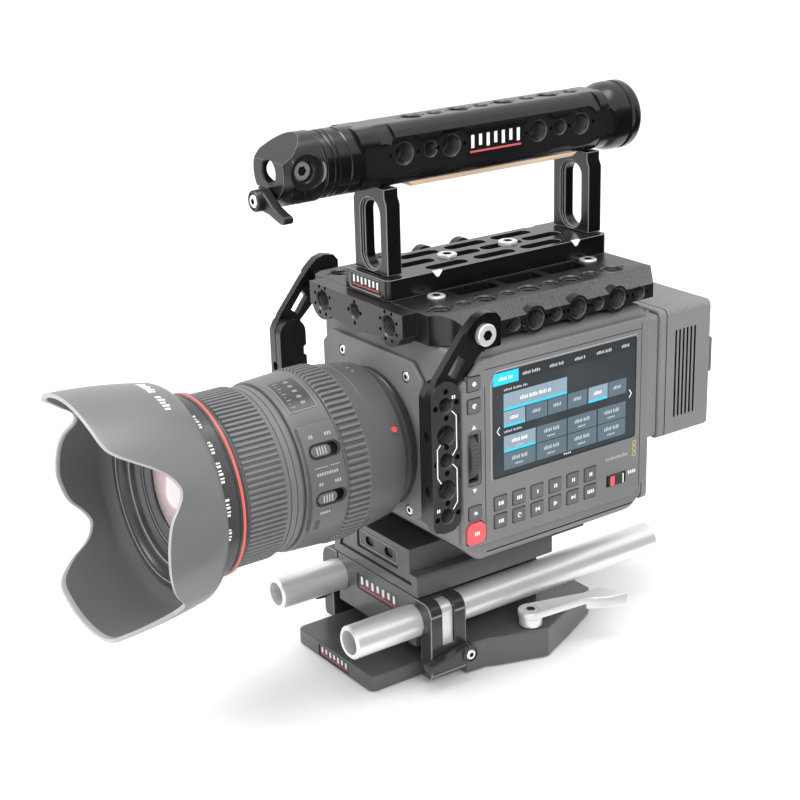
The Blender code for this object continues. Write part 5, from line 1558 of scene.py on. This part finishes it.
def make_bridge_block():
    core, wide = 21.8, 30.5
    outline = [(-wide, -33.0), (wide, -33.0), (wide, -14.3), (core, -13.3), (core, 44.0), (-core, 44.0),
               (-core, -13.3), (-wide, -14.3)]
    bridge = prism("rod_bridge", outline, "Z", (14.8, 39.2), "grey")
    bevel(bridge, 0.5, 2, 28)
    cut(bridge, rod_bores(-1, 1))
    cut(bridge, prism("seat", rounded((-14.8, 18.0), (26.6, 34.6), 1.0, 3), "Y", (-34.0, -32.6), "label"))
    ink = place_marks("seat_ink", "Y", -32.75, badge_marks((-13.2, 16.4), (27.2, 34.0)), ["white", "red_ink"],
                      0.12)
    done(merge(bridge, ink), "rig", "grey_anodised", "bridge_block")


def make_jaw(word, side):
    inner, foot = 30.9, 35.2
    outline = [(foot, 3.0), (42.0, 3.0), (43.0, 5.0), (43.0, 33.7)]
    outline += arc((37.5, 33.7), 5.5, 0, 80, 8)
    outline += [(inner, 39.2), (inner, 28.1), (foot, 22.5)]
    outline = [(side * u, v) for u, v in outline]
    jaw = prism("clamp_jaw_" + word, outline, "Y", (-33.5, -14.3), "jaw")
    # Painted highlight: the bevel faces take the light edge material.
    bevel(jaw, 0.5, 2, 20, "edge")
    cut(jaw, rod_bores(side))
    window = rounded((-27.2, -20.2), (18.0, 50.0), 1.2, 4)
    cut(jaw, prism("window", window, "X", side_span(side, 34.5, 50.0), "jaw"))
    done(jaw, "rig", "grey_anodised", "rod_jaw_" + word)
    # A silver strip in the jaw's window: a painted highlight where the clamp shows a bright reflection.
    highlight_strip = [(41.4, 17.5), (41.4, 33.7)] + arc((37.5, 33.7), 3.9, 0, 90, 8) + [(34.2, 37.6), (34.2, 36.2)]
    highlight_strip += arc((37.5, 33.7), 2.5, 90, 0, 8) + [(40.0, 17.5)]
    highlight_strip = prism("jaw_painted_highlight_strip_" + word, [(side * u, v) for u, v in highlight_strip], "Y", (-27.0, -20.4), "silver")
    bevel(highlight_strip, 0.25, 2, 40)
    done(highlight_strip, "rig", "silver")


def make_jaw_lever(word, side):
    y, z = -16.5, 13.5
    inner, outer = side * 43.3, side * 49.9
    outline = arc((y, z), 4.2, -80, 95, 14) + [(-21.0, 16.6), (-30.0, 15.0), (-37.6, 13.6), (-38.5, 12.6),
                                               (-38.5, 11.2), (-37.4, 10.4), (-30.0, 9.5), (-21.0, 9.7)]
    lever = prism("thumb_" + word, outline, "X", sorted((inner, side * 48.4)), "jaw")
    bevel(lever, 0.9, 3, 25)
    hub = lathe("hub", [(side * 44.0, 0), (side * 44.0, 3.9), (side * 49.0, 3.9), (outer, 3.2), (outer, 0)],
                "X",
                (0, y, z), "jaw", steps=48)
    cut(lever, hub, operation="UNION")
    cup = lathe("cup", [(side * 51.0, 0), (side * 51.0, 3.0), (side * 48.6, 2.8), (side * 48.6, 0)], "X",
                (0, y, z),
                "jaw", steps=40)
    cut(lever, cup)
    name = "jaw_lever_" + word
    done(merge(lever, screws("bolt", "X", [(side * 48.5, y, z, 2.4, 1.2)], side)), name, "grey_anodised",
         name)


def make_bridge_plate():
    low = 39.5
    section = [(-33.0, low), (33.0, low), (33.0, 48.5), (32.0, 49.5), (26.5, 49.5), (28.5, 44.0),
               (-28.5, 44.0),
               (-26.5, 49.5), (-32.0, 49.5), (-33.0, 48.5)]
    plate = prism("dovetail_bridge", section, "Y", (-33.0, 44.0), "grey")
    bevel(plate, 0.4, 2, 20)
    done(plate, "rig", "grey_anodised", "bridge_plate")


def make_camera_plate():
    base = 44.3
    section = [(-28.0, base), (28.0, base), (25.8, 49.8), (25.8, 60.0), (-25.8, 60.0), (-25.8, 49.8)]
    plate = prism("wedge_plate", section, "Y", (-32.0, 68.0), "grey")
    bevel(plate, 0.5, 2, 20)
    cut(plate, prism("seat", rounded((-15.0, 17.0), (47.6, 57.4), 0.8, 3), "Y", (-33.0, -31.2), "label"))
    pills = bmesh.new()
    for x in (-6.0, 9.0):
        prism_bm(rounded(mid(x, 6.4), (50.6, 54.6), 1.8, 5), "Y", (-33.0, -30.2), pills)
    # The slots take the near-black material, painted shade in them.
    cut(plate, piece("pills", pills, "hole"))
    line = [(-13.4, 56.0), (-13.4, 49.2), (15.6, 49.2), (15.6, 56.0), (-13.4, 56.0)]
    ink = place_marks("seat_ink", "Y", -31.3, [(strip([line[i], line[i + 1]], 0.4), 0) for i in range(4)],
                      ["grey_ink"], 0.1)
    done(merge(plate, ink), "rig", "grey_anodised", "camera_plate")


def make_base():
    make_tripod_plate()
    make_clamp_block()
    make_lock_lever()
    make_bridge_block()
    make_bridge_plate()
    make_camera_plate()
    for side, word in ((-1, "left"), (1, "right")):
        make_rod(word, side)
        make_jaw(word, side)
        make_jaw_lever(word, side)


make_handle()
make_cage()
make_camera()
make_lens()
make_base()
